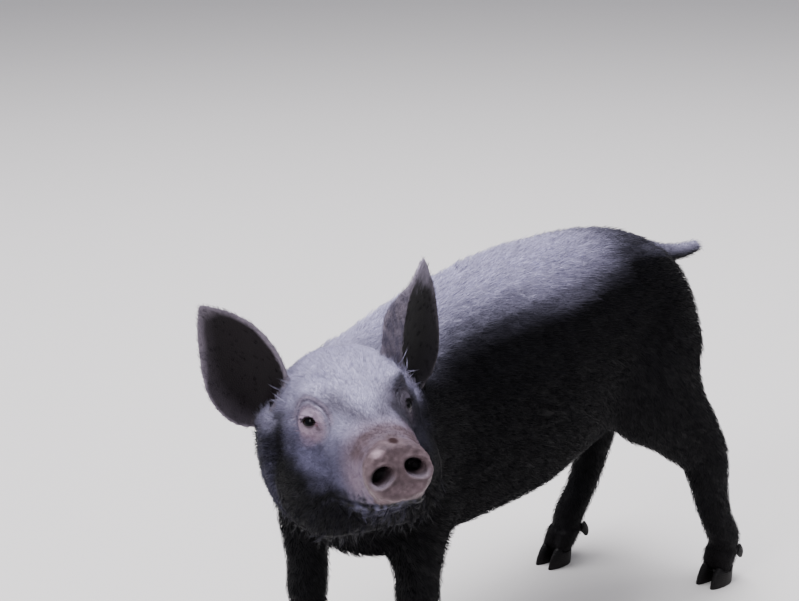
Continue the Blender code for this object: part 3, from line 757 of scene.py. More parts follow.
def paint_face(hide):
    """Painted sheen on the cheekbones, jowls, crown and brows, a painted pool of light on the right cheek and
    painted shade over the left side of the face.
    """
    x, y, z = hide.in_head.T
    of_head, mottle, streaks = hide.of_head, hide.mottle, hide.streaks
    fade = z + 0.008 + 0.60 * np.maximum(x, -0.005) + 0.05 * mottle
    behind_eye = (1 - step(x, -0.025, -0.011)) * (1 - step(z, 0.010, 0.020))
    above_mouth = step(z + 0.03 * mottle, -0.047, -0.039)
    # Painted sheen on the upper cheeks
    hide.lay(CHEEK_SHEEN, of_head * step(fade, -0.017, 0.000) * (1 - behind_eye) * above_mouth)
    # Painted sheen in streaks along the jowls and under the jaw
    jowl = of_head * step(np.abs(y), 0.044, 0.056) * (1 - step(x, -0.045, -0.025)) * step(z, -0.080, -0.05)
    hide.lay(CHEEK_SHEEN, 0.75 * held(jowl * (0.5 + 1.4 * streaks)))
    hide.lay(CHEEK_SHEEN, 0.25 * held(of_head * (1 - step(z, -0.050, -0.030)) * streaks))

    # Painted sheen on the crown and brows, where they face the light, fainter towards the snout
    facing = hide.upward @ head_way(0.45, 0, 0.89) + 0.7 * mottle
    high = step(z + 0.15 * np.maximum(x, 0), -0.008, 0.006)
    brows = 0.8 * step(z, 0.009, 0.019)
    crown = of_head * np.maximum(step(facing, 0.15, 0.72) * high, brows)
    duller = 1 - 0.42 * step(x + 0.05 * mottle, 0.018, 0.060)
    hide.lay(PAINTED_SHEEN, crown * duller)
    # Painted shade over the left side of the face
    border = np.interp(x, SHADE_BORDER_X, SHADE_BORDER_Y)
    hide.lay(BLACK_COAT, 0.90 * of_head * step(y - border + 0.02 * mottle, -0.004, 0.004))
    # Painted pool of light on the right cheek
    lit_cheek = 1 - step(away(hide.in_head, LIT_CHEEK_PLACE), 0.006, 0.018)
    hide.lay(PAINTED_SHEEN, 0.24 * of_head * lit_cheek)


def paint_muzzle(hide):
    """The pinkish muzzle with its brown bridge, painted sheen on the lower lip and painted shade in the frown
    between the eyes.
    """
    x, y, z = hide.in_head.T
    of_head, mottle = hide.of_head, hide.mottle
    muzzle = of_head * step(x, 0.040, 0.076) * step(z + 0.03 * mottle, -0.046, -0.038)
    hide.lay(MUZZLE, 0.92 * muzzle * held(0.85 + 1.2 * mottle))
    # Painted sheen in streaks on the lower lip
    lower_lip = of_head * step(x, 0.030, 0.055) * ridge(z, -0.056, 0.010) * (1 - step(y, -0.004, 0.014))
    hide.lay(CHEEK_SHEEN, np.clip(lower_lip * (0.45 + 1.6 * hide.streaks), 0, 0.9))
    bridge = muzzle * step(x + 0.03 * mottle, 0.052, 0.074) * step(z, -0.022, -0.010)
    hide.lay(MUZZLE_BROWN, 0.88 * bridge * held(0.90 + 1.5 * mottle))
    # Painted shade in the frown between the eyes
    across = np.abs(y) - 0.024 + 0.42 * (x - 0.012)
    frown = of_head * ridge(across, 0, 0.0078) * step(x, 0.008, 0.020) * (1 - step(x, 0.048, 0.066)) * (z > 0)
    hide.lay(FROWN_SHADE, 0.85 * frown * held(0.8 + mottle))


def paint_disc(hide):
    """The snout's blotched disc with a painted highlight on its lower rim and another on its top, the sore
    above it, painted highlights on the nostrils' lower lips and painted shade inside the nostrils.
    """
    points = hide.in_head
    x, y, z = points.T
    mottle = hide.mottle
    disc = hide.of_head * step(x, 0.0900, 0.0940) * step(z, -0.0470, -0.0440)
    hide.lay(DISC, disc * (1 - 0.45 * step(z, -0.014, -0.006)))
    # Painted highlight along the disc's lower rim
    lit_low_rim = ridge(disc_reach(y, z), 0.98, 0.13) * step(DISC_HEIGHT - z, -0.016, 0.006)
    hide.lay(DISC_RIM, disc * lit_low_rim * held(0.8 + 2 * mottle))
    blotches = 4 * mottle + 1.6 * (0.5 * rough(points, 0.0032, 7) + 0.3 * rough(points, 0.0014, 8))
    hide.lay(DISC_RIM, 0.75 * disc * held(blotches))
    hide.lay(BLACK_COAT, 0.50 * disc * held(-blotches))
    # Painted highlight on the disc's shiny top
    shine = away(points, DISC_HIGHLIGHT_PLACE, (0.5, 0.8, 1.2)) + 0.006 * mottle
    hide.lay(DISC_HIGHLIGHT, 0.70 * hide.of_head * (1 - step(shine, 0.0006, 0.0050)))
    hide.lay(SORE, 1 - step(away(points, SORE_PLACE, (0.5, 1.0, 0.9)), 0.0024, 0.0042))
    for side in SIDES:
        # Painted highlight on each nostril's lower lip and inner wall
        lip = ridge(nostril_reach(points, side), 1.04, 0.22) * step(DISC_HEIGHT - z, -0.001, 0.004) * disc
        hide.lay(NOSTRIL_HIGHLIGHT, lip * held(0.55 + 2.2 * mottle))
        shadow = nostril_reach(points + np.array(NOSTRIL_SHADOW), side)
        hide.lay(BLACK_COAT, 0.95 * (1 - step(shadow, 0.78, 1.00)) * step(x, 0.078, 0.090))


def paint_eyes(hide):
    """The pale lids with painted shade in their creases and a painted highlight over the upper lid, the bags
    below them and the dark edges of the slits; round the left eye little is laid, which leaves painted shade.
    """
    for side in SIDES:
        forward, along, up = eye_shape(hide.in_head, side)
        reach = lid_reach(along, up)
        # Round the left eye little is laid, which leaves painted shade there
        near = round_eye(hide.in_head, side, 0.030) * step(forward, -0.006, 0.002) * LIDS_LIT[side]
        bag = 1 - step(np.hypot(along / 1.3, up + 0.0105), 0.0040, 0.0095)
        hide.lay(EYE_BAG, 0.75 * bag * near)
        hide.lay(LID, 0.75 * (1 - step(reach + 0.006 * hide.mottle, 0.0100, 0.0146)) * near)
        upper = step(up + 0.5 * np.maximum(along, 0), -0.002, 0.003) * near
        # Painted highlight on the upper lid's outer fold
        hide.lay(LID, 0.50 * ridge(reach, 0.0172, 0.0012) * upper)
        # Painted shade in the creases of the upper lid
        for radius, _, _, width, share in LID_FOLDS:
            hide.lay(CREASE_SHADE, share * upper * ridge(reach, radius, width))
        hide.lay(LID_EDGE, 0.85 * ridge(tear_line(along, up), 0, 0.0012) * near)
        edge = 1 - step(np.hypot(along / 1.4, up), 0.0030, 0.0058)
        hide.lay(LID_EDGE, 0.85 * edge * near)
        corner = 1 - step(np.hypot(along - 0.0072, up + 0.0006), 0.0008, 0.0026)
        hide.lay(EYE_CORNER, 0.7 * corner * near)


def paint_ear_edges(hide):
    """Painted highlights on the ears' rims and the left ear's tip, and painted sheen on its folded front."""
    # Painted highlight along the ears' rims
    hide.lay(EAR_RIM_HIGHLIGHT, 0.8 * lit_ear_rims(hide))
    # Painted sheen on the left ear's folded front
    streaks = rough(hide.in_head * np.array((1.0, 1.0, 0.25)), 0.0022, 9)
    hide.lay(FOLD_SHEEN, ear_fold(hide) * held(0.65 + 1.8 * streaks))
    # Painted light on the left ear's tip
    height = ear_place(hide, "left")[0] + 0.1 * streaks
    hide.lay(EAR_TIP_LIGHT, 0.6 * hide.on("ear_left") * step(height, 0.66, 0.92))


def colours_and_light_of(hide):
    """The colour of skin and coat alike at each point, with painted sheen, highlights and shade."""
    for painted in (paint_back, paint_face, paint_muzzle, paint_disc, paint_eyes):
        painted(hide)
    hide.lay(EAR_DARK, hide.of_ears)
    # Painted shade over the left ear
    hide.lay(BLACK_COAT, 0.8 * hide.on("ear_left"))
    hide.lay(FOOT_COAT, 1 - step(hide.home[:, 2], 0.02, 0.08))
    hide.colours = hide.soft(hide.colours, 1)
    paint_ear_edges(hide)
    return hide.colours


def damp_of(hide):
    """How wet the skin is: the lower disc, the nostrils' edges and the lids' rims."""
    points = hide.in_head
    x, z = points[:, 0], points[:, 2]
    low = step(DISC_HEIGHT - z, -0.004, 0.006) * step(x, 0.092, 0.098)
    found = 0.6 * low * hide.of_head * (1 + 0.5 * rough(points, 0.003, 5))
    for side, eye in EYES.items():
        nostril = (1 - step(nostril_reach(points, side), 1.0, 1.5)) * step(x, 0.085, 0.095)
        lid = (1 - step(away(points, eye), 0.0088, 0.0100)) * (eye_shape(points, side)[0] > 0)
        found = np.max((found, nostril, lid), axis=0)
    return held(found)


# Where each piece of the coat grows

CROWN_LEVEL = -0.012


def bare_and_lashes(hide):
    """1 where the lids are bare, and 1 along the line where the lashes stand."""
    bare = np.zeros(len(hide.points))
    lashes = np.zeros(len(hide.points))
    for side in SIDES:
        forward, along, up = eye_shape(hide.in_head, side)
        lid = 1 - step(np.hypot(along / 1.25, up), 0.0062, 0.0095)
        bare = np.maximum(bare, lid * round_eye(hide.in_head, side, 0.022))
        upper = round_eye(hide.in_head, side, 0.0120) * (forward > 0.004) * (up > 0.0008)
        lashes = np.maximum(lashes, upper * ridge(np.hypot(along / 1.5, up), 0.0040, 0.0006))
    return bare, lashes


def regions_of(hide):
    """How densely each piece of the coat grows at each point."""
    x, y, z = hide.in_head.T
    of_head = hide.of_head
    bare, lashes = bare_and_lashes(hide)
    disc = step(x, 0.0875, 0.0915) * of_head
    mouth = ridge(z, MOUTH_LEVEL, 0.0010) * (x > MOUTH_CORNER_X - 0.004) * of_head
    hair = held((1 - disc) * (1 - bare) * (1 - mouth)) * step(hide.home[:, 2], 0.012, 0.020)
    face = of_head * (1 - 0.5 * step(x, 0.060, 0.085))
    found = {
        "coat_crown": face * (z > CROWN_LEVEL),
        "coat_cheek_left": face * (z <= CROWN_LEVEL) * (y > 0),
        "coat_cheek_right": face * (z <= CROWN_LEVEL) * (y <= 0),
        "coat_neck": hide.on("neck"),
        "coat_ears": ear_hair(hide),
        "coat_tail": hide.on("tail"),
    }
    fore = hide.home[:, 0] > 0.0
    for side, way in SIDES.items():
        half = hide.on("torso") & (hide.home[:, 1] * way > 0)
        found[f"coat_shoulder_{side}"] = half & fore
        found[f"coat_flank_{side}"] = half & ~fore
        found[f"coat_foreleg_{side}"] = hide.on(f"foreleg_{side}", f"forefoot_{side}")
        found[f"coat_hindleg_{side}"] = hide.on(f"thigh_{side}", f"shank_{side}", f"hindfoot_{side}")
    jaw = (1 - step(z, -0.055, -0.040)) * step(x, -0.040, 0.0)
    brow = 0.4 * ridge(x, 0.004, 0.010) * step(z, 0.018, 0.024)
    ear_base = 1.6 * ridge(x, -0.026, 0.012) * step(np.abs(y), 0.034, 0.044) * step(z, 0.008, 0.020)
    lips = 0.7 * step(x, 0.060, 0.075) * (1 - step(z, -0.040, -0.028))
    found["whiskers"] = of_head * np.max((jaw, brow, ear_base, lips), axis=0)
    found = {name: where * hair for name, where in found.items()}
    found["lashes"] = lashes
    return found


def store(mesh, name, kind, field, values):
    """Keeps values at the mesh's points under a name."""
    layer = mesh.attributes.new(name, kind, "POINT")
    layer.data.foreach_set(field, np.asarray(values, np.float32).ravel())


# Node trees

def add(tree, kind, inputs=None, **settings):
    """A node with its settings, and its inputs set to values or joined to other nodes' outputs."""
    made = tree.nodes.new(kind)
    for name, value in settings.items():
        setattr(made, name, value)
    for key, value in (inputs or {}).items():
        socket = made.inputs[key]
        if isinstance(value, bpy.types.NodeSocket):
            tree.links.new(value, socket)
        else:
            socket.default_value = value
    return made


def calc(tree, operation, *values):
    """The result of a sum with numbers."""
    return add(tree, "ShaderNodeMath", dict(enumerate(values)), operation=operation).outputs[0]


def vectors(tree, operation, first, second, output="Vector"):
    """The result of a sum with two vectors."""
    made = add(tree, "ShaderNodeVectorMath", {0: first, 1: second}, operation=operation)
    return made.outputs[output]


def scaled(tree, vector, amount):
    """A vector or colour made longer or shorter."""
    return add(tree, "ShaderNodeVectorMath", {0: vector, "Scale": amount}, operation="SCALE").outputs[0]


def picked(made, kind):
    """The one output of this kind that the node shows."""
    return next(s for s in made.outputs if s.enabled and s.type == kind)


def attribute(tree, name, data_type, kind):
    """Values kept at the points under a name."""
    made = add(tree, "GeometryNodeInputNamedAttribute", {"Name": name}, data_type=data_type)
    return picked(made, kind)


def chance(tree, low, high, seed):
    """A random number for each tuft."""
    made = add(tree, "FunctionNodeRandomValue", data_type="FLOAT")
    made.inputs[2].default_value = low
    made.inputs[3].default_value = high
    made.inputs["Seed"].default_value = seed
    return picked(made, "VALUE")


PATCH = 0.003
CROWDING = 4.0
COAT_INPUTS = {
    "Skin": "Geometry", "Tufts": "Collection", "Region": "String", "Apart": "Float", "Length": "Float",
    "Width": "Float", "Stray": "Float", "Lift": "Float", "Seed": "Int", "Finish": "Material",
}


def bristle_tree():
    """Sets tufts over a skin along the lie of its coat."""
    tree = bpy.data.node_groups.new("bristles", "GeometryNodeTree")
    for name, kind in COAT_INPUTS.items():
        tree.interface.new_socket(name, in_out="INPUT", socket_type=f"NodeSocket{kind}")
    tree.interface.new_socket("Coat", in_out="OUTPUT", socket_type="NodeSocketGeometry")
    given = add(tree, "NodeGroupInput").outputs

    region = attribute(tree, given["Region"], "FLOAT", "VALUE")
    spread = add(tree, "GeometryNodeDistributePointsOnFaces", {
        "Mesh": given["Skin"],
        "Distance Min": given["Apart"],
        "Density Max": calc(tree, "DIVIDE", CROWDING, calc(tree, "POWER", given["Apart"], 2.0)),
        "Density Factor": region,
        "Seed": given["Seed"],
    }, distribute_method="POISSON")
    stray = add(tree, "FunctionNodeRandomValue", data_type="FLOAT_VECTOR")
    stray.inputs[0].default_value = (-1, -1, -1)
    stray.inputs[1].default_value = (1, 1, 1)
    lie = attribute(tree, "lie", "FLOAT_VECTOR", "VECTOR")
    way = vectors(tree, "ADD", lie, scaled(tree, stray.outputs[0], given["Stray"]))
    turned = add(tree, "FunctionNodeAxesToRotation", {
        "Primary Axis": spread.outputs["Normal"], "Secondary Axis": way,
    }, primary_axis="Z", secondary_axis="X")
    raised = add(tree, "ShaderNodeCombineXYZ", {
        "Y": calc(tree, "MULTIPLY", chance(tree, -1.0, 0.15, 3), given["Lift"]),
    })
    rise = add(tree, "FunctionNodeEulerToRotation", {0: raised.outputs[0]})
    rotation = add(tree, "FunctionNodeRotateRotation", {
        "Rotation": turned.outputs[0], "Rotate By": rise.outputs[0],
    }, rotation_space="LOCAL")
    length = calc(tree, "MULTIPLY", attribute(tree, "hair_length", "FLOAT", "VALUE"), given["Length"])
    length = calc(tree, "MULTIPLY", length, chance(tree, 0.70, 1.15, 4))
    size = add(tree, "ShaderNodeCombineXYZ", {
        "X": length, "Y": calc(tree, "MULTIPLY", given["Width"], chance(tree, 0.8, 1.2, 5)), "Z": length,
    })
    toned = add(tree, "GeometryNodeStoreNamedAttribute", {
        "Geometry": spread.outputs["Points"], "Name": "tone", "Value": chance(tree, 0.0, 1.0, 6),
    }, data_type="FLOAT", domain="POINT")
    tufts = add(tree, "GeometryNodeCollectionInfo", {
        "Collection": given["Tufts"], "Separate Children": True, "Reset Children": True,
    })
    choice = add(tree, "FunctionNodeRandomValue", data_type="INT")
    choice.inputs[4].default_value = 0
    choice.inputs[5].default_value = 63
    planted = add(tree, "GeometryNodeInstanceOnPoints", {
        "Points": toned.outputs[0], "Instance": tufts.outputs[0], "Pick Instance": True,
        "Instance Index": picked(choice, "INT"), "Rotation": rotation.outputs[0], "Scale": size.outputs[0],
    })
    solid = add(tree, "GeometryNodeRealizeInstances", {"Geometry": planted.outputs[0]})
    own = scaled(tree, attribute(tree, "tuft_place", "FLOAT_VECTOR", "VECTOR"), PATCH)
    rooted = vectors(tree, "ADD", attribute(tree, "root_place", "FLOAT_VECTOR", "VECTOR"), own)
    unwrapped = add(tree, "GeometryNodeStoreNamedAttribute", {
        "Geometry": solid.outputs[0], "Name": "OFBake", "Value": rooted,
    }, data_type="FLOAT2", domain="CORNER")
    finished = add(tree, "GeometryNodeSetMaterial", {
        "Geometry": unwrapped.outputs[0], "Material": given["Finish"],
    })
    add(tree, "NodeGroupOutput", {"Coat": finished.outputs[0]})
    return tree


BRISTLE_WIDTH = 0.058
BRISTLE_HEIGHT = 0.020


def tuft(name, hairs, seed):
    """A few tapered bristles side by side: one long along X, one wide along Y."""
    random = np.random.default_rng(seed)
    shape = bmesh.new()
    own = shape.loops.layers.uv.new("tuft_place")
    for index in range(hairs):
        side = (index + 0.5) / hairs - 0.5 + random.uniform(-0.12, 0.12)
        start = random.uniform(-0.18, 0.18)
        reach = random.uniform(0.78, 1.0)
        swing = random.uniform(-0.35, 0.35)
        arch = random.uniform(0.09, 0.15)
        rows = []
        for t, rise, thick in ((0.0, -0.05, 1.0), (0.5, arch, 0.85)):
            middle = Vector((start + t * reach, side + swing * t * t, rise))
            wide, high = BRISTLE_WIDTH * thick, BRISTLE_HEIGHT * thick
            rows.append([
                shape.verts.new(middle + Vector((0, wide * math.cos(a), high * math.sin(a))))
                for a in (math.radians(90), math.radians(210), math.radians(330))
            ])
        tip = shape.verts.new((start + reach, side + swing, arch * random.uniform(0.5, 1.2)))
        root, waist = rows
        shape.faces.new(root)
        for k in range(3):
            after = (k + 1) % 3
            shape.faces.new((root[k], root[after], waist[after], waist[k]))
            shape.faces.new((waist[k], waist[after], tip))
    bmesh.ops.recalc_face_normals(shape, faces=shape.faces)
    bmesh.ops.triangulate(shape, faces=shape.faces)
    for face in shape.faces:
        for loop in face.loops:
            loop[own].uv = (loop.vert.co.x * 0.9 - 0.45, loop.vert.co.y * 0.8)
    mesh = bpy.data.meshes.new(name)
    shape.to_mesh(mesh)
    shape.free()
    mesh.shade_smooth()
    return mesh


def tuft_collection(name, hairs, kinds):
    """Several different tufts that the trees pick from."""
    home = bpy.data.collections.new(name)
    for seed in range(kinds):
        home.objects.link(bpy.data.objects.new(f"{name}_{seed}", tuft(f"{name}_{seed}", hairs, seed)))
    return home


def grow(skin, tree, name, tufts, finish, **sizes):
    """One piece of coat as a plain mesh."""
    ground = link(name, skin.data)
    maker = ground.modifiers.new("bristles", "NODES")
    maker.node_group = tree
    known = {item.name: item.identifier for item in tree.interface.items_tree if item.in_out == "INPUT"}
    maker[known["Tufts"]] = tufts
    maker[known["Finish"]] = finish
    for size, value in sizes.items():
        maker[known[size]] = value
    bake(ground)
    mesh = ground.data
    for extra in ("lie", "hair_length", "root_place", "tuft_place", "damp", *COATS):
        layer = mesh.attributes.get(extra)
        if layer:
            mesh.attributes.remove(layer)
    return ground


# Finishes

def material_of(name, constants):
    """A new Principled material with these constant values, and its shader."""
    material = bpy.data.materials.new(name)
    material.use_nodes = True
    shader = material.node_tree.nodes["Principled BSDF"]
    for key, value in constants.items():
        shader.inputs[key].default_value = value
    return material, shader


def object_place(tree):
    """The place on the object."""
    return add(tree, "ShaderNodeTexCoord").outputs["Object"]


def clouds(tree, position, scale, detail=4.0, stretch=(1, 1, 1)):
    """A noise over the object, from 0 to 1."""
    mapped = add(tree, "ShaderNodeMapping", {"Vector": position, "Scale": stretch})
    made = add(tree, "ShaderNodeTexNoise", {"Vector": mapped.outputs[0], "Scale": scale, "Detail": detail})
    return made.outputs[0]


def between(tree, factor, low, high):
    """The factor's 0 to 1 carried to low and high."""
    return add(tree, "ShaderNodeMapRange", {"Value": factor, "To Min": low, "To Max": high}).outputs[0]


def kept(tree, name, output="Fac"):
    """A value kept at the mesh's points."""
    return add(tree, "ShaderNodeAttribute", attribute_name=name).outputs[output]


def bumped(tree, height, distance, strength, before=None):
    """The normal bent by a height, on top of an earlier bump."""
    inputs = {"Height": height, "Distance": distance, "Strength": strength}
    if before:
        inputs["Normal"] = before
    return add(tree, "ShaderNodeBump", inputs).outputs[0]


def ramp(tree, factor, first, *later):
    """Colours set along the factor's 0 to 1, each with its place."""
    made = add(tree, "ShaderNodeValToRGB", {"Fac": factor})
    stops = made.color_ramp.elements
    *middle, last = later
    for stop, (at, colour) in zip(stops, (first, last)):
        stop.position = at
        stop.color = (*colour, 1)
    for at, colour in middle:
        stops.new(at).color = (*colour, 1)
    return made.outputs[0]


def skin_finish():
    """Dark hide with pores, fine cracks and a faint waxy shine."""
    material, shader = material_of("hide", {"Specular IOR Level": 0.12})
    tree = material.node_tree
    position = object_place(tree)
    patches = clouds(tree, position, 60.0)
    grains = clouds(tree, position, 900.0, 2.0)
    amount = calc(tree, "MULTIPLY", between(tree, patches, 0.66, 1.10), between(tree, grains, 0.86, 1.14))
    tree.links.new(scaled(tree, kept(tree, "colour_and_light", "Color"), amount), shader.inputs["Base Color"])
    cells = add(tree, "ShaderNodeTexVoronoi", {
        "Vector": position, "Scale": 650.0,
    }, feature="DISTANCE_TO_EDGE")
    cracked = bumped(tree, between(tree, cells.outputs[0], 0.0, 1.0), 0.0006, 0.5)
    tree.links.new(bumped(tree, grains, 0.0004, 0.6, cracked), shader.inputs["Normal"])
    dry = between(tree, patches, 0.50, 0.70)
    wet = add(tree, "ShaderNodeMix", {"Factor": kept(tree, "damp"), "A": dry, "B": 0.22})
    tree.links.new(wet.outputs[0], shader.inputs["Roughness"])
    return material


def lash_finish():
    """Black lashes with a dull shine."""
    return material_of("lashes", {
        "Base Color": (*BLACK_COAT, 1), "Roughness": 0.5, "Specular IOR Level": 0.15,
    })[0]


def bristle_finish(name, bloom):
    """Bristles of the skin's colours, painted sheen and shade included, each a little darker or paler, some
    with a pale bloom.
    """
    material, shader = material_of(name, {"Specular IOR Level": 0.09})
    tree = material.node_tree
    tone = kept(tree, "tone")
    patches = clouds(tree, object_place(tree), 35.0)
    amount = calc(tree, "MULTIPLY", between(tree, tone, 0.79, 1.32), between(tree, patches, 0.8, 1.2))
    own = scaled(tree, kept(tree, "colour_and_light", "Color"), amount)
    bloomed = add(tree, "ShaderNodeMix", {
        "Factor": calc(tree, "MULTIPLY", tone, bloom), 6: own, 7: (*BLOOM, 1.0),
    }, data_type="RGBA")
    tree.links.new(bloomed.outputs[2], shader.inputs["Base Color"])
    tree.links.new(between(tree, tone, 0.42, 0.60), shader.inputs["Roughness"])
    return material


def eye_finish(side):
    """A dark brown iris round a black pupil, under a wet clear surface."""
    material, shader = material_of(f"eye_{side}", {
        "Roughness": 0.25, "Specular IOR Level": 0.0,
        "Coat Weight": 0.42, "Coat Roughness": 0.03, "Coat IOR": 1.38,
    })
    tree = material.node_tree
    from_middle = vectors(tree, "SUBTRACT", object_place(tree), HEAD @ EYES[side])
    aimed = add(tree, "ShaderNodeVectorMath", {0: from_middle}, operation="NORMALIZE").outputs[0]
    facing = vectors(tree, "DOT_PRODUCT", aimed, HEAD.to_3x3() @ GAZE[side], "Value")
    rings = ramp(
        tree, facing, (0.0, (0.10, 0.055, 0.050)), (0.50, (0.12, 0.07, 0.065)), (0.60, (0.006, 0.004, 0.004)),
        (0.70, (0.018, 0.009, 0.006)), (0.900, (0.012, 0.006, 0.004)), (0.925, (0.001, 0.001, 0.002)),
        (1.0, (0.001, 0.001, 0.002)),
    )
    streaks = between(tree, clouds(tree, from_middle, 900.0, 3.0), 0.6, 1.4)
    tree.links.new(scaled(tree, rings, streaks), shader.inputs["Base Color"])
    return material


def claw_finish():
    """Dark horn with growth rings and scuffed edges, a little paler near the ground."""
    material, shader = material_of("claw_horn", {"Specular IOR Level": 0.18})
    tree = material.node_tree
    position = object_place(tree)
    rings = add(tree, "ShaderNodeTexWave", {
        "Vector": position, "Scale": 160.0, "Distortion": 3.0, "Detail": 3.0, "Detail Scale": 1.5,
    }, bands_direction="Z")
    fibres = clouds(tree, position, 260.0, 3.0, (1, 1, 0.15))
    scuffs = clouds(tree, position, 90.0, 5.0)
    height = add(tree, "ShaderNodeSeparateXYZ", {0: position}).outputs["Z"]
    low = add(tree, "ShaderNodeMapRange", {
        "Value": height, "From Min": 0.0, "From Max": 0.016, "To Min": 1.0, "To Max": 0.0,
    }).outputs[0]
    worn = calc(tree, "MULTIPLY", scuffs, low)
    horn_colours = ramp(tree, worn, (0.0, (0.0025, 0.0020, 0.0022)), (0.75, (0.008, 0.006, 0.006)))
    tree.links.new(scaled(tree, horn_colours, between(tree, fibres, 0.6, 1.4)), shader.inputs["Base Color"])
    ringed = bumped(tree, rings.outputs["Fac"], 0.0004, 0.5)
    tree.links.new(bumped(tree, fibres, 0.0003, 0.5, ringed), shader.inputs["Normal"])
    tree.links.new(between(tree, scuffs, 0.35, 0.65), shader.inputs["Roughness"])
    return material


# Eyes and claws

def eyeball(side):
    """A fine ball with a raised cornea, in the place of the plain one."""
    shape = bmesh.new()
    bmesh.ops.create_icosphere(shape, subdivisions=5, radius=EYE_RADIUS)
    for vertex in shape.verts:
        turned = vertex.co.normalized().dot(GAZE[side])
        rise = 0.00045 * max(0.0, (turned - 0.72) / 0.28) ** 0.8
        vertex.co *= 1 + rise / EYE_RADIUS
    bmesh.ops.transform(shape, matrix=HEAD @ Matrix.Translation(EYES[side]), verts=shape.verts)
    mesh = bpy.data.meshes.new(f"eyeball_{side}")
    shape.to_mesh(mesh)
    shape.free()
    mesh.shade_smooth()
    mesh.materials.append(eye_finish(side))
    ball = link(f"eyeball_{side}", mesh)
    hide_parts(f"eye_{side}")
    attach(ball, "root")


CLAW_VOXEL = 0.0009


def horn(node, finish):
    """A claw with rounded edges and its sole kept flat."""
    made = remeshed(link(f"horn_{node}", merged(node)), CLAW_VOXEL, 5)
    points = places(made.data)
    points[:, 2] = np.maximum(points[:, 2], 0.0)
    place(made.data, points)
    made.data.shade_smooth()
    made.data.materials.clear()
    made.data.materials.append(finish)
    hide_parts(node)
    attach(made, "root")


# Floor, light and camera

FLOOR_REACH = 14.0
FLOOR_COLOUR = (0.71, 0.69, 0.665, 1)
WORLD_COLOUR = (0.90, 0.90, 1.0, 1)
WORLD_STRENGTH = 0.55
LAMPS_AIM = Vector((0, 0, 0.25))


def stage():
    """A pale floor."""
    mesh = bpy.data.meshes.new("floor")
    a, b = -FLOOR_REACH, FLOOR_REACH
    mesh.from_pydata([(a, a, 0), (b, a, 0), (b, b, 0), (a, b, 0)], [], [(0, 1, 2, 3)])
    mesh.materials.append(material_of("floor", {"Base Color": FLOOR_COLOUR, "Roughness": 0.9})[0])
    floor = link("floor", mesh)


def light(name, energy, size, colour, where):
    """A square lamp that points at the animal."""
    lamp = bpy.data.lights.new(name, "AREA")
    lamp.energy = energy
    lamp.size = size
    lamp.color = colour
    made = link(name, lamp)
    made.location = where
    made.rotation_euler = (LAMPS_AIM - made.location).to_track_quat("-Z", "Y").to_euler()


def studio():
    """Soft light from all sides, a large lamp overhead and a small one for the glint in the eyes."""
    world = bpy.data.worlds.new("studio")
    world.use_nodes = True
    backing = world.node_tree.nodes["Background"]
    backing.inputs["Color"].default_value = WORLD_COLOUR
    backing.inputs["Strength"].default_value = WORLD_STRENGTH
    bpy.context.scene.world = world
    light("overhead", 330, 3.2, (0.96, 0.95, 1.0), (-0.3, -0.3, 3.8))
    light("glint", 28, 0.7, (1, 1, 1), (2.0, 0.10, 1.85))


def camera():
    """A camera with the photograph's view."""
    yaw, pitch = CAMERA_YAW, CAMERA_PITCH
    ahead = Vector((-math.cos(yaw) * math.cos(pitch), -math.sin(yaw) * math.cos(pitch), -math.sin(pitch)))
    right = ahead.cross(Vector((0, 0, 1))).normalized()
    up = right.cross(ahead)
    c, s = math.cos(CAMERA_ROLL), math.sin(CAMERA_ROLL)
    right, up = right * c + up * s, up * c - right * s
    lens = bpy.data.cameras.new("camera")
    lens.lens = CAMERA_LENS
    lens.sensor_width = SENSOR_WIDTH
    made = link("camera", lens)
    turned = Matrix((right, up, -ahead)).transposed().to_4x4()
    made.matrix_world = Matrix.Translation(CAMERA_PLACE) @ turned
    bpy.context.scene.camera = made


# The whole animal

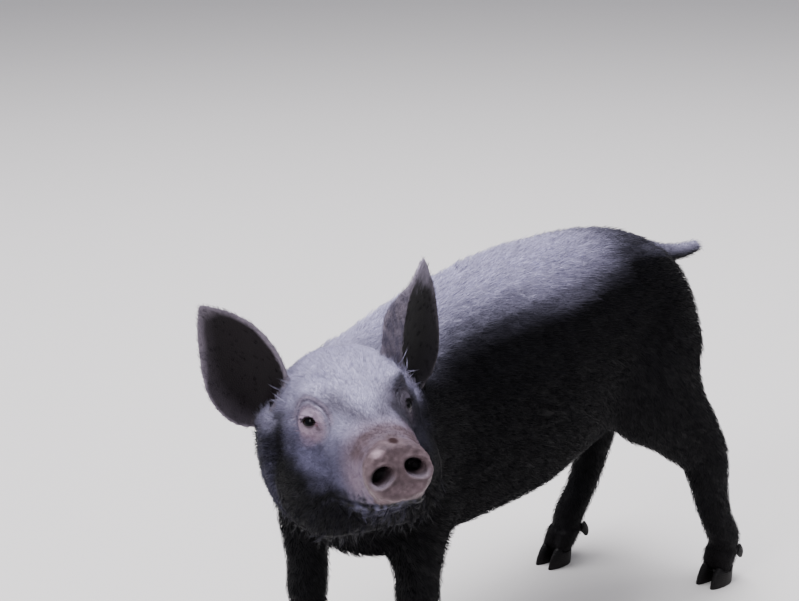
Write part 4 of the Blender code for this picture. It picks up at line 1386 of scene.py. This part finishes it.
# How far apart the tufts stand, their length and width, how far they stray and rise in degrees
TRUNK_COAT = (0.0027, 1.0, 0.0040, 0.22, 12)
FACE_COAT = (0.00155, 1.0, 0.0019, 0.14, 7)
COATS = {
    "coat_crown": FACE_COAT,
    "coat_neck": (0.0023, 1.0, 0.0038, 0.20, 11),
    "coat_ears": (0.0015, 1.0, 0.0018, 0.25, 10),
    "coat_tail": (0.0020, 1.0, 0.0030, 0.24, 14),
    "whiskers": (0.0050, 2.2, 0.0013, 0.50, 38),
    "lashes": (0.0005, 0.8, 0.0012, 0.25, 55),
    **{
        f"coat_{part}_{side}": FACE_COAT if part == "cheek" else TRUNK_COAT
        for side in SIDES
        for part in ("cheek", "shoulder", "flank", "foreleg", "hindleg")
    },
}


def unwrap(skin):
    """Unwraps the skin by its own shape."""
    bpy.context.view_layer.objects.active = skin
    skin.select_set(True)
    skin.data.uv_layers.new(name="OFBake")
    bpy.ops.object.mode_set(mode="EDIT")
    bpy.ops.mesh.select_all(action="SELECT")
    bpy.ops.uv.smart_project(angle_limit=math.radians(66), island_margin=0.002)
    bpy.ops.object.mode_set(mode="OBJECT")


def soil_of(skin, hide):
    """A copy of the skin that the coat grows from, with the lie, length and regions of the coat."""
    ground = skin.data.copy()
    ground.uv_layers["OFBake"].name = "root_place"
    store(ground, "lie", "FLOAT_VECTOR", "vector", lie_of(hide))
    store(ground, "hair_length", "FLOAT", "value", lengths_of(hide))
    for name, dense in regions_of(hide).items():
        store(ground, name, "FLOAT", "value", dense)
    return bpy.data.objects.new("soil", ground)


def grow_coat(soil):
    """Every piece of the coat, with the whiskers and lashes."""
    tree = bristle_tree()
    tufts = tuft_collection("tuft", 3, 8)
    finish = bristle_finish("bristles", 0.015)
    finishes = {"whiskers": bristle_finish("whiskers", 0.10), "lashes": lash_finish()}
    for number, (name, (apart, length, width, stray, lift)) in enumerate(COATS.items()):
        grown = grow(
            soil, tree, name, tufts, finishes.get(name, finish), Region=name, Apart=apart,
            Length=length, Width=width, Stray=stray, Lift=math.radians(lift), Seed=number + 1,
        )
        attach(grown, "root")


def main():
    stage()
    studio()
    camera()
    skin, hide = skin_piece()
    mesh = skin.data
    opaque = np.ones(len(hide.points))
    store(mesh, "colour_and_light", "FLOAT_COLOR", "color", np.column_stack([colours_and_light_of(hide), opaque]))
    store(mesh, "damp", "FLOAT", "value", damp_of(hide))
    mesh.materials.clear()
    mesh.materials.append(skin_finish())
    unwrap(skin)
    grow_coat(soil_of(skin, hide))
    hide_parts(*FLESH)
    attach(skin, "root")
    for side in SIDES:
        eyeball(side)
    finish = claw_finish()
    for node in CLAW_NODES:
        horn(node, finish)


main()
